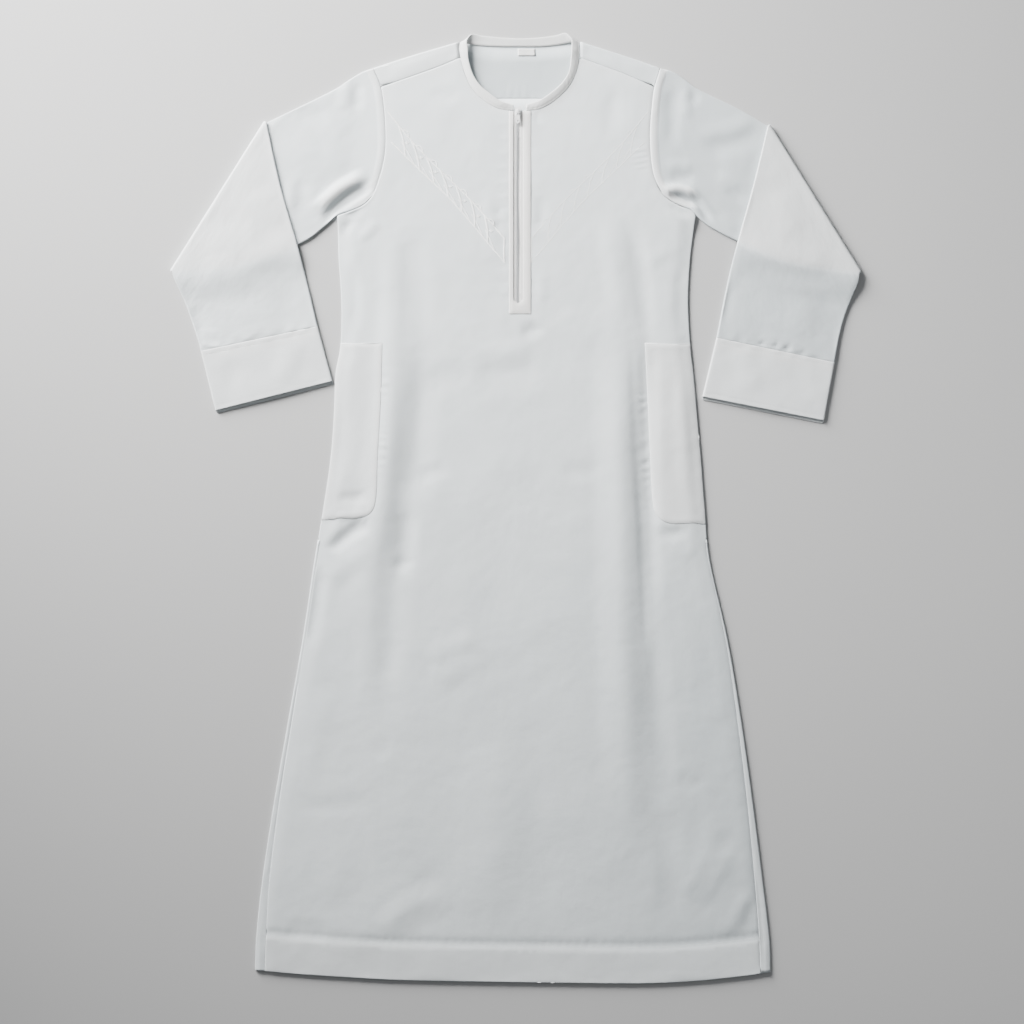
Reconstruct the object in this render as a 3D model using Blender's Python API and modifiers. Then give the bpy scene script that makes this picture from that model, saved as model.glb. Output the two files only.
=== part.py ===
"""A thobe, the long collarless robe, laid flat on its back with both sleeves folded at the elbow.

Metres, +Z up. +X is the wearer's left, shown on the right, +Y runs from hem to neck, and Z = 0 is
the surface that the robe lies on. The origin is under the middle of the robe.
The tables below are in millimetres, one row for each section or fold.
"""

import math

import bmesh
import bpy
import numpy as np
from mathutils import Vector
from mathutils.geometry import delaunay_2d_cdt

MM = 0.001

# Cloth and layers
WALL = 1.2
GAP = 0.3
FRONT_REST = WALL + GAP
FRONT_INSIDE = 4.0
LIP_REST = 2.4
EDGE_FALL = 45.0
SLEEVE_HEIGHT = 4.0
SLEEVE_HEAD_HEIGHT = FRONT_INSIDE + WALL
FOLD_GAP = 0.4
CUFF_WALL = 1.8
CUFF_HEIGHT = 5.0
CUFF_SLIP = 4.5
BAND_WALL = 2.0
HEM_EXTRA = 0.5

# Zip
ZIP_X = 3.0
CHAIN_WIDTH = 6.4
CHAIN_THICKNESS = 2.8
CHAIN_TOP_Y = 584.6
CHAIN_END_Y = 306.6
TAPE_THICKNESS = 1.0
SLOT_LEFT = -5.5
SLOT_RIGHT = 14.0
SLOT_END_Y = 300.0
PLACKET_LEFT = -10.0
PLACKET_RIGHT = 23.0
PLACKET_INNER_LEFT = -3.0
PLACKET_INNER_RIGHT = 11.0
PLACKET_END_Y = 290.0
PLACKET_BAR_Y = 306.0
SLIDER_Y = 592.0
SLIDER_LENGTH = 13.0
SLIDER_WIDTH = 9.0
PLATE = 1.2
CHAIN_CLEAR = 0.4
TAB_WIDTH = 6.0
TAB_LENGTH = 18.0
TAB_THICKNESS = 1.2
TAB_WINDOW_WIDTH = 3.0
TAB_WINDOW_END = 5.0
BRIDGE_WIDTH = 1.8
BRIDGE_REACH = 3.6
BRIDGE_BAR = 1.0
BRIDGE_CLEAR = 1.3

# Neck label
LABEL = {"left": 3.0, "right": 29.0, "low": 677.0, "high": 687.5, "thickness": 1.0}

# Body outline. Columns: height up the robe, left edge, right edge
BODY = (
    (658, -213, 216),
    (629, -201, 207),
    (600, -196.5, 203),
    (560, -194, 200.5),
    (524, -196, 202),
    (495, -203, 207),
    (469, -213, 219.5),
    (454, -226, 240),
    (445, -244, 262),
    (437, -267, 269),
    (413, -266, 266),
    (371, -265, 261),
    (311, -261, 258),
    (247, -262, 261),
    (199, -270, 266),
    (144, -272, 271),
    (77, -277, 277),
    (0, -288, 283),
    (-77, -301, 290),
    (-197, -319, 317),
    (-316, -340, 337),
    (-436, -361, 354),
    (-555, -379, 369),
    (-640, -388, 379),
    (-696, -390, 381),
)

# Side seams, where the back panel comes round onto the front. Columns: height, left, right
SIDE_SEAM = (
    (-47, -293, 284.0),
    (-77, -297.5, 287.2),
    (-197, -315, 313.5),
    (-316, -334, 331),
    (-436, -353, 345.5),
    (-555, -368, 357),
    (-640, -373, 363.5),
    (-696, -375, 366),
)
LIP_TOP_Y = SIDE_SEAM[0][0]
LIP_ROWS = (LIP_TOP_Y, -90, -150, -220, -290, -360, -430, -500, -560, -610, -655)

# Lower edge of the hem. Columns: across, height
HEM_EDGE = (
    (-392, -690),
    (-328, -696),
    (-252, -701),
    (-179, -705),
    (-89, -707),
    (6, -708.5),
    (126, -710),
    (201, -710),
    (275, -706),
    (341, -699),
    (383, -693),
)
HEM_DEPTH = 54.0

# Armhole seams, from the shoulder to the armpit. Columns: across, height
ARMHOLE = {
    "left": ((-213, 658), (-201, 629), (-196, 593), (-194, 553), (-196, 524), (-203, 495),
             (-213, 469), (-226, 454), (-244, 445), (-267, 437)),
    "right": ((216, 658), (207, 629), (202.5, 593), (200.5, 560), (202, 524), (207, 495),
              (219.5, 469), (240, 454), (262, 445), (269, 437)),
}

# Sleeve edges: the fold along the top of the arm, the underarm seam, and both edges of the forearm
SLEEVE = {
    "left": {
        "top": ((-213, 658), (-230, 652), (-250, 640), (-273, 625), (-334, 595), (-376, 579)),
        "under": ((-267, 437), (-289, 419), (-322, 396), (-397, 370), (-460, 359), (-517, 355)),
        "inner": ((-376, 579), (-352, 484), (-326, 393), (-309, 326), (-296, 272)),
        "outer": ((-517, 355), (-509, 340), (-496, 311), (-485, 281), (-475, 251), (-471, 235)),
        "mouth": ((-274, 190), (-449, 146)),
    },
    "right": {
        "top": ((216, 658), (236, 652), (254, 640), (275, 625), (337, 595), (380, 574)),
        "under": ((269, 437), (290, 421), (328, 401), (400, 371), (462, 359), (517, 353)),
        "inner": ((380, 574), (355, 484), (328, 386), (314, 326), (300, 255)),
        "outer": ((517, 353), (511, 336), (501, 311), (490, 281), (482, 247), (477, 218)),
        "mouth": ((279, 167), (461, 131)),
    },
}

# Yoke seams on the front, from the neck outwards. Columns: across, height
YOKE_SEAM = {
    "left": ((-83, 673), (-116, 659), (-158, 644), (-201, 629)),
    "right": ((95, 673), (126, 662), (166, 647), (207, 629)),
}
YOKE_BACK_Y = 613.0

# Neck band. Columns: seam across, height, level, then free edge across, height, level
NECK_BAND = (
    (-3.3, 594.6, 5.6, -3.3, 603.0, 5.6),
    (-19, 596, 5.6, -14, 605, 5.6),
    (-34, 601, 5.6, -25, 609, 5.6),
    (-49, 611, 5.6, -38, 619, 5.6),
    (-65, 627, 5.6, -53.5, 632, 5.6),
    (-75, 648, 5.6, -64.5, 649, 5.8),
    (-82, 673, 5.8, -70.5, 669, 6.6),
    (-84, 688, 5.8, -72, 686, 8.4),
    (-81, 697.5, 4.6, -73, 699, 9.6),
    (-70, 695, 1.0, -66, 708.6, 4.6),
    (-53, 692.5, 0, -50, 706.5, 1.0),
    (-24, 691, 0, -23, 704, 0),
    (6, 691, 0, 6, 702.5, 0),
    (36, 691, 0, 36, 704, 0),
    (60, 693, 0, 59, 707, 1.0),
    (79, 696.5, 1.0, 75, 710.2, 4.6),
    (92, 698.5, 4.6, 83, 700.5, 9.6),
    (95, 688, 5.8, 83.5, 686, 8.4),
    (94, 670, 5.8, 82.5, 671, 6.6),
    (88.5, 648, 5.6, 79, 651, 5.8),
    (78, 629, 5.6, 69, 635, 5.6),
    (58, 609.5, 5.6, 52, 620, 5.6),
    (37, 597.5, 5.6, 35, 609, 5.6),
    (15.3, 594.2, 5.6, 15.3, 603.0, 5.6),
)

# Patch pockets. Columns: across, height, from the mouth's inner corner round to the side edge
POCKET = {
    "left": ((-199, 247), (-201, 167), (-206, 75), (-208, 18), (-216, -7), (-239, -16), (-262, -15)),
    "right": ((193, 247), (197, 167), (201, 75), (205, 8), (212, -12), (230, -23), (258, -23)),
}
POCKET_TOP_Y = 247.0
POCKET_LOW_Y = {"left": -18.0, "right": -24.0}

# Largest folds of the front. Columns: start, middle, end, half width, height
FOLDS = (
    ((-172, 356), (-186, 120), (-236, -215), 28, 4.2),
    ((-149, 300), (-168, 60), (-206, -370), 24, -1.4),
    ((152, 356), (158, 20), (168, -540), 30, 4.2),
    ((194, 356), (186, 20), (197, -600), 22, -1.4),
    ((-74, 222), (-14, 215), (47, 222), 20, -1.2),
    ((-44, -198), (-88, -228), (-136, -251), 26, 1.8),
    ((-214, -645), (-178, -590), (-120, -566), 24, 2.0),
    ((262, -590), (290, -545), (318, -498), 22, 1.8),
    ((290, -640), (318, -600), (340, -561), 20, 1.6),
    ((-40, -330), (-30, -480), (-60, -640), 40, 1.6),
)


def clear_scene():
    for obj in list(bpy.data.objects):
        bpy.data.objects.remove(obj, do_unlink=True)


def new_collection(name):
    found = bpy.data.collections.new(name)
    bpy.context.scene.collection.children.link(found)
    return found


def new_material(name, colour, roughness, metallic=0.0):
    found = bpy.data.materials.new(name)
    found.use_nodes = True
    shader = found.node_tree.nodes["Principled BSDF"]
    shader.inputs["Base Color"].default_value = (*colour, 1.0)
    shader.inputs["Roughness"].default_value = roughness
    shader.inputs["Metallic"].default_value = metallic
    found.diffuse_color = (*colour, 1.0)
    return found


def smooth_step(value):
    value = min(1.0, max(0.0, value))
    return value * value * (3.0 - 2.0 * value)


def through(points, per_span=6):
    """Points of a smooth curve that passes through the given ones."""
    points = np.array(points, float)
    padded = np.vstack((2 * points[0] - points[1], points, 2 * points[-1] - points[-2]))
    found = []
    for span in range(len(points) - 1):
        before, start, end, after = padded[span : span + 4]
        for step in range(per_span):
            t = step / per_span
            found.append(
                0.5
                * (
                    2 * start
                    + (end - before) * t
                    + (2 * before - 5 * start + 4 * end - after) * t * t
                    + (3 * start - before - 3 * end + after) * t * t * t
                )
            )
    found.append(points[-1])
    return np.array(found)


def along(points):
    """A function that gives the point at a share of the curve's length."""
    dense = through(points) if len(points) > 2 else np.array(points, float)
    steps = np.linalg.norm(np.diff(dense[:, :2], axis=0), axis=1)
    reached = np.concatenate(([0.0], np.cumsum(steps)))
    reached /= reached[-1]
    return lambda t: np.array([np.interp(t, reached, dense[:, k]) for k in range(dense.shape[1])])


def patch(start, end, first_side, last_side):
    """A function of u and v that fills the space between four edge curves."""

    def at(u, v):
        ruled = (1 - v) * start(u) + v * end(u)
        across = (1 - u) * first_side(v) + u * last_side(v)
        corners = (1 - u) * (1 - v) * start(0.0) + u * (1 - v) * start(1.0)
        corners = corners + (1 - u) * v * end(0.0) + u * v * end(1.0)
        return ruled + across - corners

    return at


ARM_CURVE = {side: through(rows, 3) for side, rows in ARMHOLE.items()}
BODY_CURVE = through([row for row in BODY if row[0] <= 437])[::-1]
SEAM_CURVE = through(SIDE_SEAM)[::-1]
HEM_CURVE = through(HEM_EDGE)


def body_edge(y, side):
    """The body's edge at this height: the armhole above the armpit, the side below it."""
    if y > 437:
        curve = ARM_CURVE[side][::-1]
        return float(np.interp(y, curve[:, 1], curve[:, 0]))
    column = 1 if side == "left" else 2
    return float(np.interp(y, BODY_CURVE[:, 0], BODY_CURVE[:, column]))


def seam_edge(y, side):
    column = 1 if side == "left" else 2
    return float(np.interp(y, SEAM_CURVE[:, 0], SEAM_CURVE[:, column]))


def hem_y(x):
    return float(np.interp(x, HEM_CURVE[:, 0], HEM_CURVE[:, 1]))


def fold_curve(start, middle, end):
    return through((start, middle, end), 10)


FOLD_CURVES = [(fold_curve(*row[:3]), row[3], row[4]) for row in FOLDS]


def fold_rise(x, y):
    """Sum of the soft ridges and troughs at this place of the front."""
    total = 0.0
    for curve, half_width, height in FOLD_CURVES:
        gaps = np.hypot(curve[:, 0] - x, curve[:, 1] - y)
        near = int(gaps.argmin())
        reach = half_width * 1.6
        if gaps[near] > reach:
            continue
        share = near / (len(curve) - 1)
        ends = smooth_step(share / 0.3) * smooth_step((1 - share) / 0.3)
        total += height * ends * math.cos(0.5 * math.pi * gaps[near] / reach) ** 2
    return total


def front_height(x, y):
    """Level of the underside of the front's cloth over the surface it lies on."""
    low = smooth_step((-10.0 - y) / 90.0)
    rest = FRONT_REST + (LIP_REST - FRONT_REST) * low
    edge = min(x - body_edge(y, "left"), body_edge(y, "right") - x)
    rise = smooth_step(edge / EDGE_FALL)
    armhole = smooth_step((y - 405.0) / 30.0)
    rise = max(rise, armhole)
    hem = smooth_step((y - hem_y(x)) / 60.0)
    level = rest + (FRONT_INSIDE - rest) * rise * (0.45 + 0.55 * hem)
    return level + fold_rise(x, y) * smooth_step(edge / 35.0) * (0.35 + 0.65 * hem)


def add_object(name, mesh, material, collection):
    mesh.materials.append(material)
    found = bpy.data.objects.new(name, mesh)
    collection.objects.link(found)
    mesh.shade_smooth()
    mesh.set_sharp_from_angle(angle=math.radians(40))
    return found


def add_shell(name, points, faces, wall, material, collection, even=False):
    """An open surface, faces outwards, that a Solidify modifier thickens inwards."""
    mesh = bpy.data.meshes.new(name)
    mesh.from_pydata([tuple(c * MM for c in p) for p in points], [], faces)
    mesh.validate()
    found = add_object(name, mesh, material, collection)
    solidify = found.modifiers.new("Cloth thickness", "SOLIDIFY")
    solidify.thickness = wall * MM
    solidify.offset = -1.0
    solidify.use_even_offset = even
    return found


def grid_faces(rows, columns, closed=False):
    """Quads of a grid of points stored row by row."""
    faces = []
    spans = columns if closed else columns - 1
    for row in range(rows - 1):
        for column in range(spans):
            following = (column + 1) % columns
            low, high = row * columns, (row + 1) * columns
            faces.append((low + column, low + following, high + following, high + column))
    return faces


# Front layer: one plan of triangles that all pieces lying on the front share


def side_heights():
    fixed = [row[0] for row in BODY if row[0] <= 437]
    fixed += [POCKET_TOP_Y, POCKET_LOW_Y["left"], POCKET_LOW_Y["right"]]
    return sorted(set(float(y) for y in fixed if y > LIP_TOP_Y), reverse=True)


def side_points(side):
    """The front panel's side edge from armpit to hem: the body's edge, then the side seam."""
    inward = 0.2 if side == "left" else -0.2
    found = [(body_edge(y, side) + inward, y) for y in side_heights()]
    for y in LIP_ROWS:
        found.append((seam_edge(y, side) + inward, float(y)))
    corner = seam_edge(-696, side) + inward
    found.append((corner, hem_y(corner)))
    return found


def offset_path(points, distance):
    """The path moved sideways, to the right of its direction."""
    points = np.array(points, float)
    tangents = np.gradient(points, axis=0)
    tangents /= np.linalg.norm(tangents, axis=1)[:, None]
    normals = np.stack((tangents[:, 1], -tangents[:, 0]), axis=1)
    return points + normals * distance


def neck_seam(side):
    """Seam between the front panel and the neck band, from the middle outwards."""
    rows = NECK_BAND[:7] if side == "left" else NECK_BAND[:-7:-1]
    curve = through([row[:2] for row in rows], 2)
    outward = -0.5 if side == "left" else 0.5
    return [tuple(p) for p in offset_path(curve, outward)]


def front_outline():
    """The front panel's plan outline with the notch for the zip, anticlockwise."""
    right_neck = [p for p in neck_seam("right") if p[0] > SLOT_RIGHT + 3]
    left_neck = [p for p in neck_seam("left") if p[0] < SLOT_LEFT - 3]
    right = [(SLOT_RIGHT, 593.4)] + right_neck
    right += [(x, y - GAP) for x, y in through(YOKE_SEAM["right"], 2)[1:]]
    right[-1] = (right[-1][0] - 0.4, right[-1][1])
    right += [(x - 0.3, y - 0.5) for x, y in ARM_CURVE["right"][4:-1]]
    right += side_points("right")
    left = [(SLOT_LEFT, 593.7)] + left_neck
    left += [(x, y - GAP) for x, y in through(YOKE_SEAM["left"], 2)[1:]]
    left[-1] = (left[-1][0] + 0.4, left[-1][1])
    left += [(x + 0.3, y - 0.5) for x, y in ARM_CURVE["left"][4:-1]]
    left += side_points("left")
    hem = [(x, hem_y(x)) for x in np.linspace(left[-1][0], right[-1][0], 22)[1:-1]]
    ring = left + hem + right[::-1]
    notch = [(SLOT_RIGHT, SLOT_END_Y), (SLOT_LEFT, SLOT_END_Y)]
    return [(float(x), float(y)) for x, y in ring + notch]


def pocket_outline(side):
    inner = through(POCKET[side], 2)
    ring = [(float(x), float(y)) for x, y in inner]
    heights = [y for y in side_heights() if POCKET_LOW_Y[side] <= y <= POCKET_TOP_Y]
    inward = 0.2 if side == "left" else -0.2
    edge = [(body_edge(y, side) + inward, y) for y in heights]
    return ring + edge[::-1]


ZIP_STEPS = (593.5, 560.0, 520.0, 480.0, 440.0, 400.0, 360.0, 330.0, PLACKET_BAR_Y)


def placket_outline():
    """A U of cloth round the zip: both strips and the bar below it."""
    ring = [(PLACKET_LEFT, y) for y in (*ZIP_STEPS, SLOT_END_Y, PLACKET_END_Y)]
    ring += [(SLOT_LEFT, PLACKET_END_Y), (ZIP_X, PLACKET_END_Y), (SLOT_RIGHT, PLACKET_END_Y)]
    ring += [(PLACKET_RIGHT, y) for y in (PLACKET_END_Y, SLOT_END_Y, *ZIP_STEPS[::-1])]
    ring += [(PLACKET_INNER_RIGHT, y) for y in ZIP_STEPS]
    ring += [(ZIP_X, PLACKET_BAR_Y)]
    ring += [(PLACKET_INNER_LEFT, y) for y in ZIP_STEPS[::-1]]
    return ring


def tape_outline(side):
    inner = ZIP_X + (CHAIN_WIDTH / 2 + GAP) * (-1 if side == "left" else 1)
    outer = SLOT_LEFT + GAP if side == "left" else SLOT_RIGHT - GAP
    low = SLOT_END_Y + GAP
    heights = (*ZIP_STEPS, low)
    return [(inner, y) for y in heights] + [(outer, y) for y in heights[::-1]]


def inside(point, ring):
    x, y = point
    found = False
    for (ax, ay), (bx, by) in zip(ring, ring[1:] + ring[:1]):
        if (ay > y) != (by > y) and x < (bx - ax) * (y - ay) / (by - ay) + ax:
            found = not found
    return found


def segment_gaps(point, starts, ends):
    span = ends - starts
    share = ((point - starts) * span).sum(1) / np.maximum((span * span).sum(1), 1e-9)
    nearest = starts + span * np.clip(share, 0, 1)[:, None]
    return np.linalg.norm(nearest - point, axis=1)


def front_plan(rings, step_x=23.0, step_y=58.0):
    """Triangles over the whole front, with every ring's edges kept."""
    places, index, edges = [], {}, []

    def place(point):
        key = (round(point[0], 2), round(point[1], 2))
        if key not in index:
            index[key] = len(places)
            places.append(key)
        return index[key]

    for ring in rings:
        order = [place(p) for p in ring]
        edges += [(a, b) for a, b in zip(order, order[1:] + order[:1]) if a != b]
    starts = np.array([places[a] for a, b in edges])
    ends = np.array([places[b] for a, b in edges])
    for row, y in enumerate(np.arange(-690.0, 640.0, step_y)):
        for x in np.arange(-400.0 + (row % 2) * step_x / 2, 400.0, step_x):
            if inside((x, y), rings[0]) and segment_gaps(np.array((x, y)), starts, ends).min() > 11:
                place((float(x), float(y)))
    flat = [Vector(p) for p in places]
    plan = delaunay_2d_cdt(flat, edges, [], 0, 1e-4)
    return [tuple(p) for p in plan[0]], [tuple(f) for f in plan[2]]


def triangles_inside(plan, ring):
    places, faces = plan
    chosen = []
    for face in faces:
        middle = np.mean([places[k] for k in face], axis=0)
        if inside(middle, ring):
            chosen.append(face)
    return chosen


def add_laid_piece(name, plan, ring, lift, wall, material, collection, extra=None):
    """A flat piece of cloth, thickened while flat and then draped over the front's heights."""
    places, _ = plan
    bm = bmesh.new()
    made = {}
    for face in triangles_inside(plan, ring):
        corners = []
        for k in face:
            if k not in made:
                made[k] = bm.verts.new((places[k][0], places[k][1], 0.0))
            corners.append(made[k])
        bm.faces.new(corners)
    bmesh.ops.recalc_face_normals(bm, faces=bm.faces)
    bm.normal_update()
    if sum(face.normal.z for face in bm.faces) < 0:
        bmesh.ops.reverse_faces(bm, faces=bm.faces)
    bmesh.ops.solidify(bm, geom=list(bm.faces), thickness=-wall)
    base = min(vert.co.z for vert in bm.verts)
    for vert in bm.verts:
        above = vert.co.z - base
        level = front_height(vert.co.x, vert.co.y) + lift + above
        if extra and above > 0.5 * wall:
            level += extra(vert.co.x, vert.co.y)
        vert.co.z = level
    bmesh.ops.recalc_face_normals(bm, faces=bm.faces)
    bmesh.ops.scale(bm, vec=(MM, MM, MM), verts=bm.verts)
    mesh = bpy.data.meshes.new(name)
    bm.to_mesh(mesh)
    bm.free()
    return add_object(name, mesh, material, collection)


def hem_thickness(x, y):
    """The hem is turned up, so its cloth lies double."""
    return HEM_EXTRA * smooth_step((hem_y(x) + HEM_DEPTH - y) / 6.0)


# Back panel: a flat sheet whose sides come up and round onto the front below the hips


def add_back_panel(material, collection):
    rows = [YOKE_BACK_Y - GAP, 575, 535, 500, 472, 460, 452, 446, 441, 436, 400, 340, 280, 220]
    rows += [160, 100, 40, -10, *LIP_ROWS, None]
    first_lip = rows.index(LIP_TOP_Y)
    shares = np.linspace(0.0, 1.0, 9)
    height = LIP_REST + WALL
    radius = height / 2
    index, points, faces = {}, [], []

    def put(row, column, point):
        index[(row, column)] = len(points)
        points.append(point)

    for row, y in enumerate(rows):
        level = -696.0 if y is None else y
        above = 1.5 if level > 436 else 0.0
        edges = {side: body_edge(level + above, side) for side in ("left", "right")}
        inset = 0.9 if level > 436 else 0.2 if row < first_lip else radius
        low, high = edges["left"] + inset, edges["right"] - inset
        for column, share in enumerate(shares):
            x = low + (high - low) * share
            put(row, 10 + column, (x, hem_y(x) if y is None else y, 0.0))
        if row < first_lip:
            continue
        for side, sign, base in (("left", 1, 9), ("right", -1, 19)):
            edge = edges[side]
            end = max(abs(seam_edge(level, side) - edge) - 0.25, radius + 0.15)
            profile = [(radius * (1 - math.sin(a)), radius * (1 - math.cos(a))) for a in
                       (math.pi / 4, math.pi / 2, 3 * math.pi / 4)]
            profile += [(radius, height), (end, height)]
            for step, (reach, z) in enumerate(profile):
                column = base - step if side == "left" else base + step
                x = edge + sign * reach
                put(row, column, (x, hem_y(x) if y is None else y, z))
    for row in range(len(rows) - 1):
        for column in range(5, 23):
            corners = [(row, column), (row, column + 1), (row + 1, column + 1), (row + 1, column)]
            if all(corner in index for corner in corners):
                faces.append(tuple(index[corner] for corner in corners))
    return add_shell("back_panel", points, faces, WALL, material, collection)


# Yoke: lies across the back of the shoulders and comes over them onto the front


def add_yoke(material, collection):
    back_rows = (0.0, 0.4, 0.8, 1.0)
    front_rows = (0.0, 0.35, 0.7, 1.0)
    height = SLEEVE_HEAD_HEIGHT
    radius = height / 2
    seam = through([row[:2] for row in NECK_BAND[9:16]], 3)
    groups = {
        "left": (np.linspace(0, 1, 7), -85.2, -83.8),
        "right": (np.linspace(0, 1, 7), 96.2, 95.6),
    }
    index, points, faces = {}, [], []

    def put(row, column, point):
        if (row, column) not in index:
            index[(row, column)] = len(points)
            points.append(point)

    for side, (shares, fold_neck, seam_neck) in groups.items():
        sign = 1 if side == "left" else -1
        back_neck = -60.0 if side == "left" else 70.0
        fold = along(((fold_neck, 697.5), (-156 if side == "left" else 162, 676.5),
                      (body_edge(658, side) + sign * 0.3, 658.3)))
        front_seam = along([(seam_neck, YOKE_SEAM[side][0][1])] + list(YOKE_SEAM[side][1:]))
        for step, share in enumerate(shares):
            column = 6 - step if side == "left" else 12 + step
            top_x, top_y = fold(share)
            low_x = back_neck + (body_edge(YOKE_BACK_Y, side) + sign * 0.2 - back_neck) * share
            for row, part in enumerate(back_rows):
                y = YOKE_BACK_Y + (top_y - radius - YOKE_BACK_Y) * part
                x = low_x + (top_x - low_x) * part
                edge = body_edge(y, side) + sign * 0.2
                x = x + (edge - x) * smooth_step((share - 0.8) / 0.2)
                put(row, column, (x, y, 0.0))
            for row, angle in ((4, 45), (5, 90), (6, 135)):
                a = math.radians(angle)
                reach = radius * (1 - math.sin(a))
                put(row, column, (top_x, top_y - reach, radius * (1 - math.cos(a))))
            end_x, end_y = front_seam(share)
            for row, part in enumerate(front_rows):
                y = top_y - radius + (end_y - top_y + radius) * part
                x = top_x + (end_x - top_x) * part
                edge = body_edge(y, side) + sign * 0.2
                x = x + (edge - x) * smooth_step((share - 0.8) / 0.2)
                put(7 + row, column, (x, y, height))
    left_x, right_x = points[index[(3, 6)]][0], points[index[(3, 12)]][0]
    for column in range(7, 12):
        share = (column - 6) / 6
        x_top = left_x + (right_x - left_x) * share
        y_top = float(np.interp(x_top, seam[:, 0], seam[:, 1])) - 0.6
        x_low = -60.0 + 130.0 * share
        for row, part in enumerate(back_rows):
            put(row, column, (x_low + (x_top - x_low) * part,
                              YOKE_BACK_Y + (y_top - YOKE_BACK_Y) * part, 0.0))
    for row in range(10):
        for column in range(18):
            corners = [(row, column), (row + 1, column), (row + 1, column + 1), (row, column + 1)]
            if row >= 3 and 6 <= column < 12:
                continue
            if all(corner in index for corner in corners):
                faces.append(tuple(index[corner] for corner in corners))
    return add_shell("yoke", points, faces, WALL, material, collection)


# Sleeves: one flattened tube each, folded over at the elbow so that the forearm lies on top


RING_SHARES = tuple(np.linspace(0.0, 1.0, 8))


def ring_places():
    """Places round a flattened tube: share across, inset share at the edges, layer from -1 to 1."""
    corner = math.sqrt(0.5)
    upper = [(share, 1.0 if share in (0.0, 1.0) else 0.0, 1.0) for share in RING_SHARES]
    last_edge = [(1.0, 1 - corner, corner), (1.0, 0.0, 0.0), (1.0, 1 - corner, -corner)]
    lower = [(share, inset, -1.0) for share, inset, _ in upper[::-1]]
    first_edge = [(0.0, inset, layer) for _, inset, layer in last_edge[::-1]]
    return upper + last_edge + lower + first_edge


def ring_points(surface, v, height, base, slip=0.0):
    """Points of one ring of a tube. base and height are functions of the plan place."""
    start, end = surface(0.0, v), surface(1.0, v)
    width = float(np.linalg.norm(end - start))
    found = []
    for share, inset, layer in ring_places():
        middle = surface(share, v)
        tall = height(share, v)
        move = inset * tall / 2 / width
        u = share + move * (1 - 2 * share) if share in (0.0, 1.0) else share
        x, y = surface(u, v)
        if slip and layer < 0:
            ahead = surface(u, v) - surface(u, v - 0.05)
            ahead /= np.linalg.norm(ahead)
            x, y = np.array((x, y)) + ahead * slip * -layer
        z = base(*middle) + tall * (1 + layer) / 2
        found.append((x, y, z))
    return found


def add_sleeve(side, material, collection):
    edges = SLEEVE[side]
    sign = -1 if side == "left" else 1
    armhole = along(ARMHOLE[side][:7])
    underarm = [(x + 0.4 * sign, y + 0.5) for x, y in ARM_CURVE[side][19::2]]
    underarm = [ARMHOLE[side][6], *underarm, *edges["under"][1:]]
    corner, tip = np.array(edges["top"][-1], float), np.array(edges["under"][-1], float)
    direction = (tip - corner) / np.linalg.norm(tip - corner)
    outward = np.array((direction[1], -direction[0])) * (1 if side == "left" else -1)
    reach = FOLD_GAP + SLEEVE_HEIGHT
    fold_start, fold_end = corner - outward * reach, tip - outward * reach
    fold = along((fold_start, fold_end))
    top = along([*edges["top"][:-1], tuple(fold_start)])
    under = along([*underarm[:-1], tuple(fold_end)])
    upper = patch(armhole, fold, top, under)
    inner = along([tuple(fold_start), *edges["inner"][1:]])
    outer = along([tuple(fold_end), *edges["outer"][1:]])
    cuff_seam = along((edges["inner"][-1], edges["outer"][-1]))
    forearm = patch(fold, cuff_seam, inner, outer)
    under_line = through(edges["under"])
    level = SLEEVE_HEIGHT + 2 * FOLD_GAP

    def upper_height(share, v):
        head = max(0.0, 1 - v / 0.2) ** 2
        return SLEEVE_HEIGHT + (SLEEVE_HEAD_HEIGHT - SLEEVE_HEIGHT) * head

    def fore_height(share, v):
        swell = math.sin(math.pi * share) ** 2 * math.sin(math.pi * min(1.0, v)) ** 2
        return SLEEVE_HEIGHT + (CUFF_HEIGHT - SLEEVE_HEIGHT) * smooth_step((v - 0.6) / 0.4) + 2.2 * swell

    def fore_base(x, y):
        order = np.argsort(under_line[:, 0])
        edge_y = float(np.interp(x, under_line[order, 0], under_line[order, 1]))
        return level * (1 - smooth_step((edge_y - y - 14.0) / 60.0))

    def flat(x, y):
        return 0.0

    rings = []
    length = float(np.linalg.norm(np.array(edges["top"][-1]) - np.array(edges["top"][0])))
    for v in (0.6 / length, 0.06, 0.12, 0.18, 0.28, 0.4, 0.55, 0.7, 0.85, 1.0):
        rings.append(ring_points(upper, v, upper_height, flat))
    width = float(np.linalg.norm(tip - corner))
    for angle in (30, 60, 90, 120, 150):
        a = math.radians(angle)
        ring = []
        for share, inset, layer in ring_places():
            move = inset * SLEEVE_HEIGHT / 2 / width
            u = share + move * (1 - 2 * share) if share in (0.0, 1.0) else share
            radius = FOLD_GAP + (1 - layer) / 2 * SLEEVE_HEIGHT
            x, y = fold(u) + outward * radius * math.sin(a)
            z = SLEEVE_HEIGHT + FOLD_GAP - radius * math.cos(a)
            ring.append((x, y, z))
        rings.append(ring)
    for v in (0.0, 0.06, 0.14, 0.23, 0.33, 0.44, 0.55, 0.67, 0.79, 0.9, 1.0):
        ring = ring_points(forearm, v, fore_height, fore_base)
        count = len(ring)
        # Over the elbow the sleeve turns upside down, so its layers trade places.
        swapped = []
        for share, inset, layer in ring_places():
            twin = ring_places().index((share, inset, -layer))
            swapped.append(ring[twin])
        rings.append(swapped[:count])
    columns = len(rings[0])
    points = [point for ring in rings for point in ring]
    faces = grid_faces(len(rings), columns, closed=True)
    if side == "left":
        faces = [face[::-1] for face in faces]
    return add_shell(f"sleeve_{side}", points, faces, WALL, material, collection)


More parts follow.
